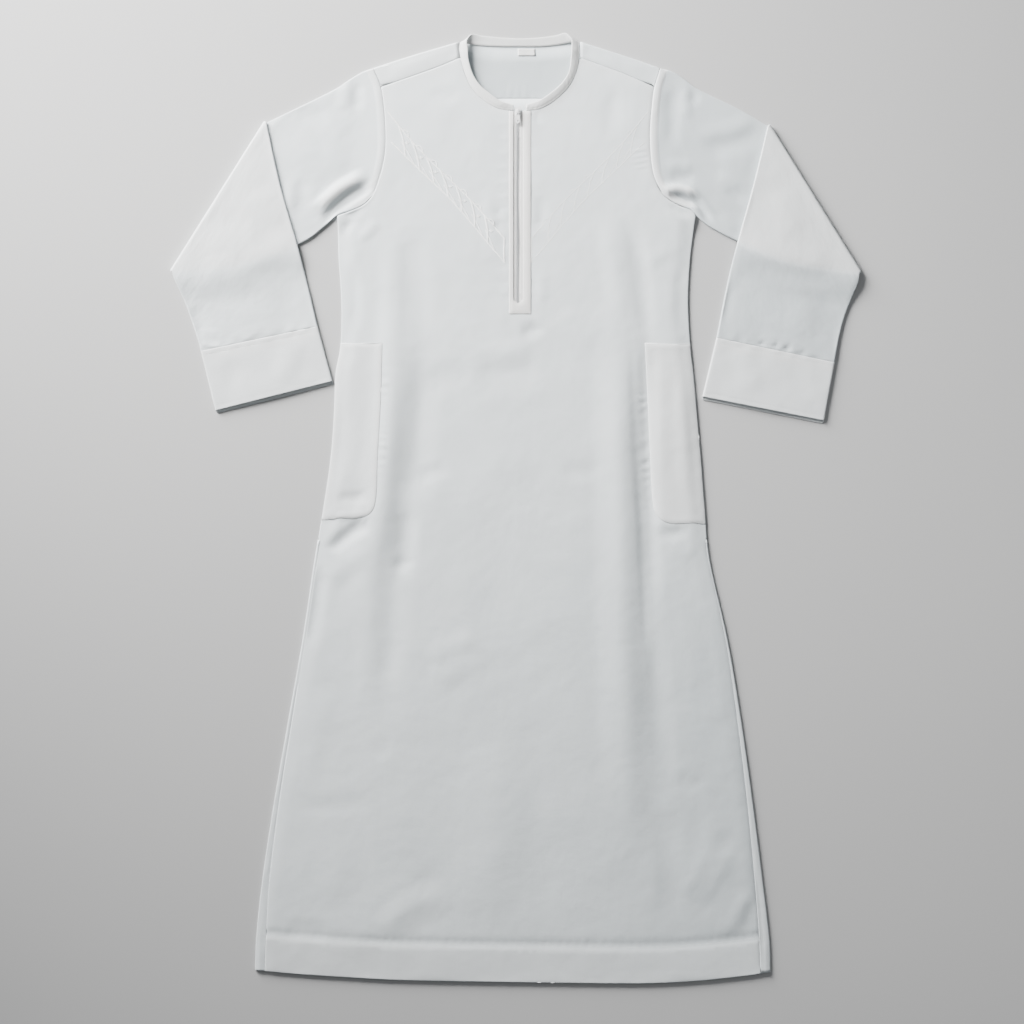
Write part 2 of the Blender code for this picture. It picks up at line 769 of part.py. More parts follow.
def add_cuff(side, material, collection):
    edges = SLEEVE[side]
    start, end = (np.array(edges[k][-1], float) for k in ("inner", "outer"))
    mouth_start, mouth_end = (np.array(p, float) for p in edges["mouth"])
    away = (mouth_start - start) / np.linalg.norm(mouth_start - start)
    start, end = start + away * 0.4, end + away * 0.4
    surface = patch(along((start, end)), along((mouth_start, mouth_end)),
                    along((start, mouth_start)), along((end, mouth_end)))

    def height(share, v):
        return CUFF_HEIGHT + 1.2 * math.sin(math.pi * share) ** 2 * v

    def flat(x, y):
        return 0.0

    rings = [ring_points(surface, v, height, flat, CUFF_SLIP * smooth_step((v - 0.6) / 0.4))
             for v in (0.0, 0.12, 0.5, 0.88, 1.0)]
    points = [point for ring in rings for point in ring]
    faces = grid_faces(len(rings), len(rings[0]), closed=True)
    if side == "right":
        faces = [face[::-1] for face in faces]
    return add_shell(f"cuff_{side}", points, faces, CUFF_WALL, material, collection)


# Neck band: a strip sewn to the neckline that stands up at the shoulders and lies flat elsewhere


def add_neck_band(material, collection):
    rows = through(NECK_BAND, 3)
    points = []
    for row in rows:
        seam, free = row[:3], row[3:]
        middle = (seam + free) / 2
        points += [tuple(seam), tuple(middle), tuple(free)]
    return add_shell("neck_band", points, grid_faces(len(rows), 3), BAND_WALL, material, collection)


# Zip: chain, slider and pull tab


def add_box(name, low, high, material, collection, bevel=0.0):
    size = [(b - a) * MM for a, b in zip(low, high)]
    centre = [(a + b) / 2 * MM for a, b in zip(low, high)]
    bpy.ops.mesh.primitive_cube_add(size=1.0, location=(0, 0, 0))
    found = bpy.context.object
    found.name = name
    found.data.name = name
    for vert in found.data.vertices:
        vert.co = [c * s for c, s in zip(vert.co, size)]
    found.location = centre
    for owner in list(found.users_collection):
        owner.objects.unlink(found)
    collection.objects.link(found)
    found.data.materials.append(material)
    if bevel:
        rounding = found.modifiers.new("Rounded edges", "BEVEL")
        rounding.width = bevel * MM
        rounding.segments = 2
    return found


def rounded_outline(half_width, low, high, radius, steps=3):
    """Corners of a rounded rectangle, anticlockwise, in millimetres."""
    found = []
    for cx, cy, first in ((half_width - radius, low + radius, -90), (half_width - radius, high - radius, 0),
                          (-half_width + radius, high - radius, 90), (-half_width + radius, low + radius, 180)):
        for step in range(steps + 1):
            a = math.radians(first + 90 * step / steps)
            found.append((cx + radius * math.cos(a), cy + radius * math.sin(a)))
    return found


def add_plate(name, outlines, thickness, material, collection):
    """A flat outline extruded to a plate about its own middle plane, as a welded mesh."""
    curve = bpy.data.curves.new(name, "CURVE")
    curve.dimensions = "2D"
    curve.fill_mode = "BOTH"
    curve.extrude = thickness / 2 * MM
    for outline in outlines:
        spline = curve.splines.new("POLY")
        spline.points.add(len(outline) - 1)
        for point, (x, y) in zip(spline.points, outline):
            point.co = (x * MM, y * MM, 0.0, 1.0)
        spline.use_cyclic_u = True
    guide = bpy.data.objects.new(name + "_outline", curve)
    collection.objects.link(guide)
    bpy.context.view_layer.update()
    graph = bpy.context.evaluated_depsgraph_get()
    mesh = bpy.data.meshes.new_from_object(guide.evaluated_get(graph))
    bpy.data.objects.remove(guide, do_unlink=True)
    bm = bmesh.new()
    bm.from_mesh(mesh)
    bmesh.ops.remove_doubles(bm, verts=bm.verts, dist=1e-6)
    bmesh.ops.recalc_face_normals(bm, faces=bm.faces)
    bm.to_mesh(mesh)
    bm.free()
    mesh.name = name
    mesh.materials.clear()
    found = bpy.data.objects.new(name, mesh)
    mesh.materials.append(material)
    collection.objects.link(found)
    return found


def add_slider(material, collection, cutters):
    """Two plates round the chain, joined by a wedge at the top, with a bridge for the pull tab."""
    middle = front_height(ZIP_X, SLIDER_Y) + TAPE_THICKNESS / 2
    chain_high = middle + CHAIN_THICKNESS / 2
    chain_low = middle - CHAIN_THICKNESS / 2
    half = SLIDER_LENGTH / 2
    plate = rounded_outline(SLIDER_WIDTH / 2, -half, half, 2.2)
    upper = add_plate("zip_slider", [plate], PLATE, material, collection)
    upper_z = chain_high + CHAIN_CLEAR + PLATE / 2
    upper.location = (ZIP_X * MM, SLIDER_Y * MM, upper_z * MM)
    lower = add_plate("slider_lower_plate", [plate], PLATE, material, cutters)
    lower_z = chain_low - CHAIN_CLEAR - PLATE / 2
    lower.location = (ZIP_X * MM, SLIDER_Y * MM, lower_z * MM)
    wedge = add_box("slider_wedge", (ZIP_X - 1.8, SLIDER_Y + 1.6, lower_z - 0.2),
                    (ZIP_X + 1.8, SLIDER_Y + half - 0.9, upper_z + 0.2), material, cutters)
    plate_top = upper_z + PLATE / 2
    axis_z = plate_top + 0.4 + TAB_THICKNESS / 2
    crown = axis_z + BRIDGE_CLEAR + BRIDGE_BAR
    leg_low = plate_top - 0.3
    arch = [(-BRIDGE_REACH, leg_low), (-BRIDGE_REACH + BRIDGE_BAR, leg_low),
            (-BRIDGE_REACH + BRIDGE_BAR, crown - BRIDGE_BAR - 0.4),
            (-BRIDGE_REACH + BRIDGE_BAR + 0.6, crown - BRIDGE_BAR),
            (BRIDGE_REACH - BRIDGE_BAR - 0.6, crown - BRIDGE_BAR),
            (BRIDGE_REACH - BRIDGE_BAR, crown - BRIDGE_BAR - 0.4),
            (BRIDGE_REACH - BRIDGE_BAR, leg_low), (BRIDGE_REACH, leg_low),
            (BRIDGE_REACH, crown - 1.2), (BRIDGE_REACH - 0.9, crown),
            (-BRIDGE_REACH + 0.9, crown), (-BRIDGE_REACH, crown - 1.2)]
    bridge = add_plate("slider_bridge", [arch], BRIDGE_WIDTH, material, cutters)
    bridge.rotation_euler = (math.radians(90), 0, math.radians(90))
    bridge.location = (ZIP_X * MM, SLIDER_Y * MM, 0.0)
    for piece in (lower, wedge, bridge):
        piece.hide_render = True
        piece.display_type = "WIRE"
        joined = upper.modifiers.new("Join " + piece.name, "BOOLEAN")
        joined.operation = "UNION"
        joined.solver = "EXACT"
        joined.object = piece
    upper.data.shade_smooth()
    upper.data.set_sharp_from_angle(angle=math.radians(35))
    return upper, axis_z


def add_pull_tab(axis_z, material, collection):
    """A flat tab with a window that the slider's bridge passes through. It turns about X."""
    half = TAB_WIDTH / 2
    outer = rounded_outline(half, -TAB_LENGTH, TAB_THICKNESS / 2, 0.5, 2)
    tip = [(half, -TAB_LENGTH + 5.0), (half, TAB_THICKNESS / 2), (-half, TAB_THICKNESS / 2),
           (-half, -TAB_LENGTH + 5.0)]
    rounded_tip = [(half * math.cos(a), -TAB_LENGTH + 5.0 + 5.0 * math.sin(a))
                   for a in np.radians(np.linspace(180, 360, 9))[1:-1]]
    outer = tip + rounded_tip
    window = rounded_outline(TAB_WINDOW_WIDTH / 2, -TAB_WINDOW_END, -TAB_THICKNESS / 2, 0.4, 2)
    eye = [(1.3 * math.cos(a), -TAB_LENGTH + 4.4 + 1.3 * math.sin(a))
           for a in np.radians(np.arange(0, 360, 30))]
    found = add_plate("zip_pull_tab", [outer, window, eye], TAB_THICKNESS, material, collection)
    found.location = (ZIP_X * MM, SLIDER_Y * MM, axis_z * MM)
    return found


def main():
    clear_scene()
    thobe = new_collection("thobe")
    cutters = new_collection("cutters")
    cloth = new_material("white_cloth", (0.76, 0.78, 0.79), 0.62)
    band_cloth = new_material("white_band", (0.78, 0.79, 0.79), 0.6)
    tape = new_material("zip_tape", (0.74, 0.75, 0.76), 0.7)
    teeth = new_material("zip_teeth", (0.52, 0.53, 0.53), 0.45)
    metal = new_material("slider_metal", (0.58, 0.58, 0.57), 0.32, 1.0)
    label = new_material("neck_label", (0.8, 0.8, 0.79), 0.6)

    front = front_outline()
    placket = placket_outline()
    tapes = {side: tape_outline(side) for side in ("left", "right")}
    pockets = {side: pocket_outline(side) for side in ("left", "right")}
    rings = [front, placket, tapes["left"], tapes["right"], pockets["left"], pockets["right"]]
    plan = front_plan(rings)

    add_laid_piece("front_panel", plan, front, 0.0, WALL, cloth, thobe, hem_thickness)
    add_laid_piece("placket", plan, placket, WALL + GAP, WALL, cloth, thobe)
    for side in ("left", "right"):
        add_laid_piece(f"zip_tape_{side}", plan, tapes[side], 0.0, TAPE_THICKNESS, tape, thobe)
        add_laid_piece(f"pocket_{side}", plan, pockets[side], WALL + GAP, WALL, cloth, thobe)
        add_sleeve(side, cloth, thobe)
        add_cuff(side, cloth, thobe)
    add_back_panel(cloth, thobe)
    add_yoke(cloth, thobe)
    add_neck_band(band_cloth, thobe)

    middle = front_height(ZIP_X, 450.0) + TAPE_THICKNESS / 2
    add_box("zip_chain",
            (ZIP_X - CHAIN_WIDTH / 2, CHAIN_END_Y, middle - CHAIN_THICKNESS / 2),
            (ZIP_X + CHAIN_WIDTH / 2, CHAIN_TOP_Y, middle + CHAIN_THICKNESS / 2), teeth, thobe)
    _, axis_z = add_slider(metal, thobe, cutters)
    add_pull_tab(axis_z, metal, thobe)
    label_base = WALL + GAP
    add_box("neck_label", (LABEL["left"], LABEL["low"], label_base),
            (LABEL["right"], LABEL["high"], label_base + LABEL["thickness"]), label, thobe)


main()
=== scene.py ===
# %% [markdown]
# # A white thobe, laid flat
# The robe lies on its back with both sleeves folded at the elbow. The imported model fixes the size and
# place of every piece. Here each plain solid gives way to a thin cloth of the same form, with its
# creases, weave, stitches and embroidery. Tables are in millimetres, meshes in metres.

# %% Load the frame
import math

import bpy
import numpy as np
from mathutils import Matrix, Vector, kdtree, noise
from mathutils.geometry import delaunay_2d_cdt


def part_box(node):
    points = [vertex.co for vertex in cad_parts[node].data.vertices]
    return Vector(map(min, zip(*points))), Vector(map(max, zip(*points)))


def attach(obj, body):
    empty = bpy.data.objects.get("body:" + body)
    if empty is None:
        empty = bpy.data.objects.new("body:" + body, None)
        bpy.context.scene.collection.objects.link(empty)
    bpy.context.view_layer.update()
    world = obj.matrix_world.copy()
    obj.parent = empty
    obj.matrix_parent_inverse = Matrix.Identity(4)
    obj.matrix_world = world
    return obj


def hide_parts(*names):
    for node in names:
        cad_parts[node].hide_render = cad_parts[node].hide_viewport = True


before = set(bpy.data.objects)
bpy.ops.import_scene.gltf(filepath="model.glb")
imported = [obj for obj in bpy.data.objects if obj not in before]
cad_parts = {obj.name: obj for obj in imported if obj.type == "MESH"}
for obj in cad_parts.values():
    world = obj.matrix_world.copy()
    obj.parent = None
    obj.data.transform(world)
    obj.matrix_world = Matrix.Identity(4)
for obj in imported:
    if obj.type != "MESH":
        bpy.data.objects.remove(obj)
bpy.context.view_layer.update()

MM = 0.001
TURN = 2 * math.pi

# %% [markdown]
# ## Camera
# The photograph looks straight down on the garment, with the neck at the top. A long lens three metres
# up keeps the flat cloth free of perspective, and its field is set so that one pixel is 1.494 mm.

# %% Camera
PIXEL, IMAGE_WIDTH = 1.494 * MM, 1024
CAMERA_HEIGHT, CLOTH_HEIGHT = 3.0, 0.005
camera_data = bpy.data.cameras.new("camera")
camera_data.sensor_width = 36.0
camera_data.lens = camera_data.sensor_width * (CAMERA_HEIGHT - CLOTH_HEIGHT) / (IMAGE_WIDTH * PIXEL)
camera = bpy.data.objects.new("camera", camera_data)
camera.location = (-0.0056, -0.0056, CAMERA_HEIGHT)
bpy.context.scene.collection.objects.link(camera)
bpy.context.scene.camera = camera
print("lens", round(camera_data.lens, 1), "mm")

# %% [markdown]
# ## Sizes
# The same short tables that shape the solids: the body's edges, the side seams, the hem, the armholes,
# the sleeves, the yoke seams, the neck band and the pockets. Each row is one section.

# %% Sizes of the robe, in millimetres
ARMHOLE = {
    "left": ((-213, 658), (-201, 629), (-196, 593), (-194, 553), (-196, 524), (-203, 495),
             (-213, 469), (-226, 454), (-244, 445), (-267, 437)),
    "right": ((216, 658), (207, 629), (202.5, 593), (200.5, 560), (202, 524), (207, 495),
              (219.5, 469), (240, 454), (262, 445), (269, 437)),
}
# height up the robe, left edge, right edge
BODY = ((437, -267, 269), (413, -266, 266), (371, -265, 261), (311, -261, 258), (247, -262, 261),
        (199, -270, 266), (144, -272, 271), (77, -277, 277), (0, -288, 283), (-77, -301, 290),
        (-197, -319, 317), (-316, -340, 337), (-436, -361, 354), (-555, -379, 369),
        (-640, -388, 379), (-696, -390, 381))
SIDE_SEAM = ((-47, -293, 284.0), (-77, -297.5, 287.2), (-197, -315, 313.5), (-316, -334, 331),
             (-436, -353, 345.5), (-555, -368, 357), (-640, -373, 363.5), (-696, -375, 366))
LIP_TOP_Y = -47
HEM_EDGE = ((-392, -690), (-328, -696), (-252, -701), (-179, -705), (-89, -707), (6, -708.5),
            (126, -710), (201, -710), (275, -706), (341, -699), (383, -693))
HEM_DEPTH = 54.0
SLEEVE = {
    "left": {
        "top": ((-213, 658), (-230, 652), (-250, 640), (-273, 625), (-334, 595), (-376, 579)),
        "under": ((-267, 437), (-289, 419), (-322, 396), (-397, 370), (-460, 359), (-517, 355)),
        "inner": ((-376, 579), (-352, 484), (-326, 393), (-309, 326), (-296, 272)),
        "outer": ((-517, 355), (-509, 340), (-496, 311), (-485, 281), (-475, 251), (-471, 235)),
        "mouth": ((-274, 190), (-449, 146)),
    },
    "right": {
        "top": ((216, 658), (236, 652), (254, 640), (275, 625), (337, 595), (380, 574)),
        "under": ((269, 437), (290, 421), (328, 401), (400, 371), (462, 359), (517, 353)),
        "inner": ((380, 574), (355, 484), (328, 386), (314, 326), (300, 255)),
        "outer": ((517, 353), (511, 336), (501, 311), (490, 281), (482, 247), (477, 218)),
        "mouth": ((279, 167), (461, 131)),
    },
}
YOKE_SEAM = {
    "left": ((-83, 673), (-116, 659), (-158, 644), (-201, 629)),
    "right": ((95, 673), (126, 662), (166, 647), (207, 629)),
}
YOKE_BACK_Y = 613.0
# seam across, height, level, then free edge across, height, level
NECK_BAND = (
    (-3.3, 594.6, 5.6, -3.3, 603.0, 5.6), (-19, 596, 5.6, -14, 605, 5.6),
    (-34, 601, 5.6, -25, 609, 5.6), (-49, 611, 5.6, -38, 619, 5.6),
    (-65, 627, 5.6, -53.5, 632, 5.6), (-75, 648, 5.6, -64.5, 649, 5.8),
    (-82, 673, 5.8, -70.5, 669, 6.6), (-84, 688, 5.8, -72, 686, 8.4),
    (-81, 697.5, 4.6, -73, 699, 9.6), (-70, 695, 1.0, -66, 708.6, 4.6),
    (-53, 692.5, 0, -50, 706.5, 1.0), (-24, 691, 0, -23, 704, 0), (6, 691, 0, 6, 702.5, 0),
    (36, 691, 0, 36, 704, 0), (60, 693, 0, 59, 707, 1.0), (79, 696.5, 1.0, 75, 710.2, 4.6),
    (92, 698.5, 4.6, 83, 700.5, 9.6), (95, 688, 5.8, 83.5, 686, 8.4),
    (94, 670, 5.8, 82.5, 671, 6.6), (88.5, 648, 5.6, 79, 651, 5.8), (78, 629, 5.6, 69, 635, 5.6),
    (58, 609.5, 5.6, 52, 620, 5.6), (37, 597.5, 5.6, 35, 609, 5.6),
    (15.3, 594.2, 5.6, 15.3, 603.0, 5.6),
)
POCKET = {
    "left": ((-199, 247), (-201, 167), (-206, 75), (-208, 18), (-216, -7), (-239, -16), (-262, -15)),
    "right": ((193, 247), (197, 167), (201, 75), (205, 8), (212, -12), (230, -23), (258, -23)),
}
POCKET_LOW_Y = {"left": -18.0, "right": -24.0}
SIDES = (("left", 1), ("right", -1))  # the sign points inwards
ZIP_X, SLOT_LEFT, SLOT_RIGHT, SLOT_END_Y = 3.0, -5.5, 14.0, 300.0
PLACKET = {"left": -10.0, "right": 23.0, "inner_left": -3.0, "inner_right": 11.0,
           "top": 593.5, "bar": 306.0, "end": 290.0}
CLOTH, THIN_CLOTH, CUFF_CLOTH = 0.3, 0.15, 1.0
SOLID_WALL = 1.2
CUFF_STITCH, ZIP_MIDDLE, SEAM_END_Y = 6.5, 6.5, -696
FOREARM, SLEEVE_WIDTH, CUFF_WIDTH = 330.0, 230.0, 180.0

# %% [markdown]
# ## Curves and levels
# A robe's edges are long soft curves, so each table is read through a smooth curve. `level_of_front`
# says how high the front lies: low at its edges, where it meets the back, and a few millimetres up
# inside, with the largest folds on top, as in the solids.

# %% Curves
def smooth_step(value):
    value = np.clip(value, 0.0, 1.0)
    return value * value * (3.0 - 2.0 * value)


def between(value, low, low_fade, high, high_fade):
    """1 between two limits, with a soft start and a soft end inside them."""
    return smooth_step((value - low) / low_fade) * smooth_step((high - value) / high_fade)


def bell(gap, width):
    """1 where the gap is 0, and close to 0 beyond twice the width."""
    return np.exp(-((gap / width) ** 2))


def unit(vector):
    return vector / np.linalg.norm(vector)


def through(points, per_span=6):
    """A smooth curve through the points."""
    points = np.array(points, float)
    padded = np.vstack((2 * points[0] - points[1], points, 2 * points[-1] - points[-2]))
    found = []
    for span in range(len(points) - 1):
        before, start, end, after = padded[span : span + 4]
        for step in range(per_span):
            t = step / per_span
            found.append(0.5 * (2 * start + (end - before) * t
                                + (2 * before - 5 * start + 4 * end - after) * t * t
                                + (3 * start - before - 3 * end + after) * t ** 3))
    found.append(points[-1])
    return np.array(found)


def reach_along(points):
    """How far along a path each of its points lies."""
    return np.concatenate(([0.0], np.cumsum(np.linalg.norm(np.diff(points, axis=0), axis=1))))


def read_at(places, reached, points):
    return np.stack([np.interp(places, reached, points[:, k]) for k in range(points.shape[1])], axis=-1)


def evenly(points, step):
    """The same path with a point every step or so."""
    points = np.array(points, float)
    reached = reach_along(points[:, :2])
    count = max(2, int(round(reached[-1] / step)) + 1)
    return read_at(np.linspace(0.0, reached[-1], count), reached, points)


def along(points):
    """A function that gives the place at each share of a path's length."""
    dense = through(points) if len(points) > 2 else np.array(points, float)
    reached = reach_along(dense[:, :2])
    reached /= reached[-1]
    return lambda share: read_at(share, reached, dense)


def patch(start, end, first_side, last_side):
    """A function of u and v that fills the space between four edge curves."""
    def at(u, v):
        u, v = (np.atleast_1d(np.asarray(k, float))[:, None] for k in (u, v))
        ruled = (1 - v) * start(u[:, 0]) + v * end(u[:, 0])
        across = (1 - u) * first_side(v[:, 0]) + u * last_side(v[:, 0])
        corners = (1 - v) * ((1 - u) * start(0.0) + u * start(1.0))
        return ruled + across - corners - v * ((1 - u) * end(0.0) + u * end(1.0))
    return at


def offset_path(points, distance):
    """The path moved to the right of its direction."""
    points = np.array(points, float)
    tangents = np.gradient(points[:, :2], axis=0)
    tangents /= np.linalg.norm(tangents, axis=1)[:, None]
    return points[:, :2] + np.stack((tangents[:, 1], -tangents[:, 0]), axis=1) * distance


ARM_CURVE = {side: through(rows, 3) for side, rows in ARMHOLE.items()}
BODY_CURVE, SEAM_CURVE = through(BODY)[::-1], through(SIDE_SEAM)[::-1]
HEM_CURVE = through(HEM_EDGE)
ARMPIT_Y = 437
EDGE_COLUMN = {"left": 1, "right": 2}


def seam_edge(y, side):
    """Where the side seam lies at a height."""
    return np.interp(y, SEAM_CURVE[:, 0], SEAM_CURVE[:, EDGE_COLUMN[side]])


def body_edge(y, side):
    """Where the robe ends at a height: at its armhole, or at the body's edge below it."""
    curve = ARM_CURVE[side][::-1]
    below = np.interp(y, BODY_CURVE[:, 0], BODY_CURVE[:, EDGE_COLUMN[side]])
    return np.where(np.asarray(y) > ARMPIT_Y, np.interp(y, curve[:, 1], curve[:, 0]), below)[()]


def edge_gap(x, y):
    """How far inside the robe's nearer edge a place lies."""
    return np.minimum(x - body_edge(y, "left"), body_edge(y, "right") - x)


def hem_y(x):
    return np.interp(x, HEM_CURVE[:, 0], HEM_CURVE[:, 1])


# %% Creases: soft ridges and troughs along short curves
def nearest(x, y, curve):
    """Distance to the nearest point of a curve, and which point that is."""
    gaps = np.hypot(x[:, None] - curve[None, :, 0], y[:, None] - curve[None, :, 1])
    best = gaps.argmin(1)
    return gaps[np.arange(len(x)), best], best


def crease_rise(x, y, table):
    """Sum of creases at each place. A row is start, middle, end, half width, height, and sharpness."""
    x, y = np.asarray(x, float), np.asarray(y, float)
    total = np.zeros_like(x)
    for start, middle, end, half_width, height, *sharpness in table:
        curve = evenly(through((start, middle, end), 10), 4.0)
        reach = half_width * 1.6
        low, high = curve.min(0) - reach, curve.max(0) + reach
        near = np.nonzero((x > low[0]) & (x < high[0]) & (y > low[1]) & (y < high[1]))[0]
        if len(near):
            gap, best = nearest(x[near], y[near], curve)
            share = best / (len(curve) - 1)
            ends = between(share, 0, 0.3, 1, 0.3)
            power = sharpness[0] if sharpness else 2.0
            total[near] += height * ends * np.cos(0.5 * math.pi * np.clip(gap / reach, 0, 1)) ** power
    return total


LARGE_FOLDS = (
    ((-172, 356), (-186, 120), (-236, -215), 28, 4.2),
    ((-149, 300), (-168, 60), (-206, -370), 24, -1.4),
    ((152, 356), (158, 20), (168, -540), 30, 4.2),
    ((194, 356), (186, 20), (197, -600), 22, -1.4),
    ((-74, 222), (-14, 215), (47, 222), 20, -0.6),
    ((-44, -198), (-88, -228), (-136, -251), 26, 1.8),
    ((-214, -645), (-178, -590), (-120, -566), 24, 2.0),
    ((262, -590), (290, -545), (318, -498), 22, 1.8),
    ((290, -640), (318, -600), (340, -561), 20, 1.6),
    ((-40, -330), (-30, -480), (-60, -640), 40, 1.6),
)


def rolling(x, y, size, height, seed):
    """Low uneven swells of about this size, always the same for one seed."""
    shift = Vector((seed * 13.7, seed * 7.3, seed * 3.1))
    values = [noise.noise(Vector((a / size, b / size, 0.0)) + shift) for a, b in zip(x, y)]
    return height * np.array(values)


def relief(x, y, creases, *swells):
    """Creases of a table, with low swells of each size, height and seed."""
    rise = crease_rise(x, y, creases)
    for swell in swells:
        rise = rise + rolling(x, y, *swell)
    return rise


def relief_at(x, y, creases, *swells):
    """The same at one place."""
    return float(relief(np.array([x]), np.array([y]), creases, *swells)[0])


def level_of_front(x, y):
    """Top of the front's cloth over the floor, in millimetres, as in the solid."""
    x, y = np.asarray(x, float), np.asarray(y, float)
    low = smooth_step((-10.0 - y) / 90.0)
    rest = 1.5 + 0.9 * low
    edge = edge_gap(x, y)
    rise = np.maximum(smooth_step(edge / 26.0), smooth_step((y - 405.0) / 30.0))
    hem = smooth_step((y - hem_y(x)) / 60.0)
    level = rest + (4.0 - rest) * rise * (0.45 + 0.55 * hem)
    level += crease_rise(x, y, LARGE_FOLDS) * smooth_step(edge / 35.0) * (0.35 + 0.65 * hem)
    return level + SOLID_WALL


print("front level at the chest", level_of_front(np.array([100.0]), np.array([500.0])).round(2), "mm")

# %% [markdown]
# ## Cloth effects
# Every piece is the same smooth white polyester. Two effects make it cloth: a plain weave of fine
# threads, and faint uneven rumples between the modelled creases. Each is a node group, built once, so
# that every cloth can place it with its own values. They follow each piece's own map, which runs in
# metres along the thread, so the weave turns with a sleeve or a cuff.

# %% Nodes
def add_node(tree, kind, inputs=None, **settings):
    """A node with its settings, and its inputs set to values or linked to other nodes."""
    node = tree.nodes.new(kind)
    for label, value in settings.items():
        setattr(node, label, value)
    for label, value in (inputs or {}).items():
        if isinstance(value, bpy.types.NodeSocket):
            tree.links.new(value, node.inputs[label])
        else:
            node.inputs[label].default_value = value
    return node


def math_node(tree, operation, *values):
    return add_node(tree, "ShaderNodeMath", dict(enumerate(values)), operation=operation).outputs[0]


def new_group(name, kind, inputs, outputs):
    """A node group with named sockets: the group, its inputs and its output node."""
    group = bpy.data.node_groups.new(name, kind)
    for label, socket_kind, value in inputs:
        socket = group.interface.new_socket(label, in_out="INPUT", socket_type="NodeSocket" + socket_kind)
        if value is not None:
            socket.default_value = value
    for label, socket_kind in outputs:
        group.interface.new_socket(label, in_out="OUTPUT", socket_type="NodeSocket" + socket_kind)
    return group, group.nodes.new("NodeGroupInput").outputs, group.nodes.new("NodeGroupOutput")


# %% Shader node groups: weave and rumple
def weave_group():
    """Plain weave: warp and weft threads that pass over and under in turn."""
    group, given, result = new_group(
        "plain_weave", "ShaderNodeTree", [("Vector", "Vector", None), ("Threads", "Float", 1900.0)],
        [("Height", "Float"), ("Slub", "Float")])
    split = add_node(group, "ShaderNodeSeparateXYZ", {0: given["Vector"]})
    waves = []
    for axis in (0, 1):
        turns = math_node(group, "MULTIPLY", split.outputs[axis], given["Threads"])
        waves.append(math_node(group, "SINE", math_node(group, "MULTIPLY", turns, math.pi)))
    crossing = math_node(group, "MULTIPLY", *waves)
    group.links.new(math_node(group, "MULTIPLY_ADD", crossing, 0.5), result.inputs["Height"])
    drawn = add_node(group, "ShaderNodeMapping", {"Scale": (900.0, 14.0, 1.0), "Vector": given["Vector"]})
    slub = add_node(group, "ShaderNodeTexNoise", {"Scale": 1.0, "Detail": 2.0, "Vector": drawn.outputs[0]})
    group.links.new(slub.outputs["Fac"], result.inputs["Slub"])
    return group


def rumple_group():
    """Faint uneven rumples a few centimetres across, and finer ones inside them."""
    group, given, result = new_group("rumple", "ShaderNodeTree", [("Vector", "Vector", None)],
                                     [("Height", "Float"), ("Tone", "Float")])
    large, small = (add_node(group, "ShaderNodeTexNoise", {
        "Scale": scale, "Detail": detail, "Roughness": 0.55, "Vector": given["Vector"]}).outputs["Fac"]
        for scale, detail in ((16.0, 2.0), (70.0, 3.0)))
    both = math_node(group, "ADD", large, math_node(group, "MULTIPLY", small, 0.22))
    group.links.new(both, result.inputs["Height"])
    group.links.new(large, result.inputs["Tone"])
    return group


WEAVE, RUMPLE = weave_group(), rumple_group()
print("node groups", WEAVE.name, RUMPLE.name)

# %% Cloth materials
DOUBLED = (1.046, 1.010, 0.994)
# painted shade: the cool, darker tint that negative values of the cloth's attribute mix in
PAINTED_SHADE_TINT = (0.74, 0.76, 0.77)


def new_material(name, **values):
    """A material with values on its shader: the material, its tree and its shader."""
    material = bpy.data.materials.new(name)
    material.use_nodes = True
    shader = material.node_tree.nodes["Principled BSDF"]
    for label, value in values.items():
        shader.inputs[label.replace("_", " ")].default_value = value
    return material, material.node_tree, shader


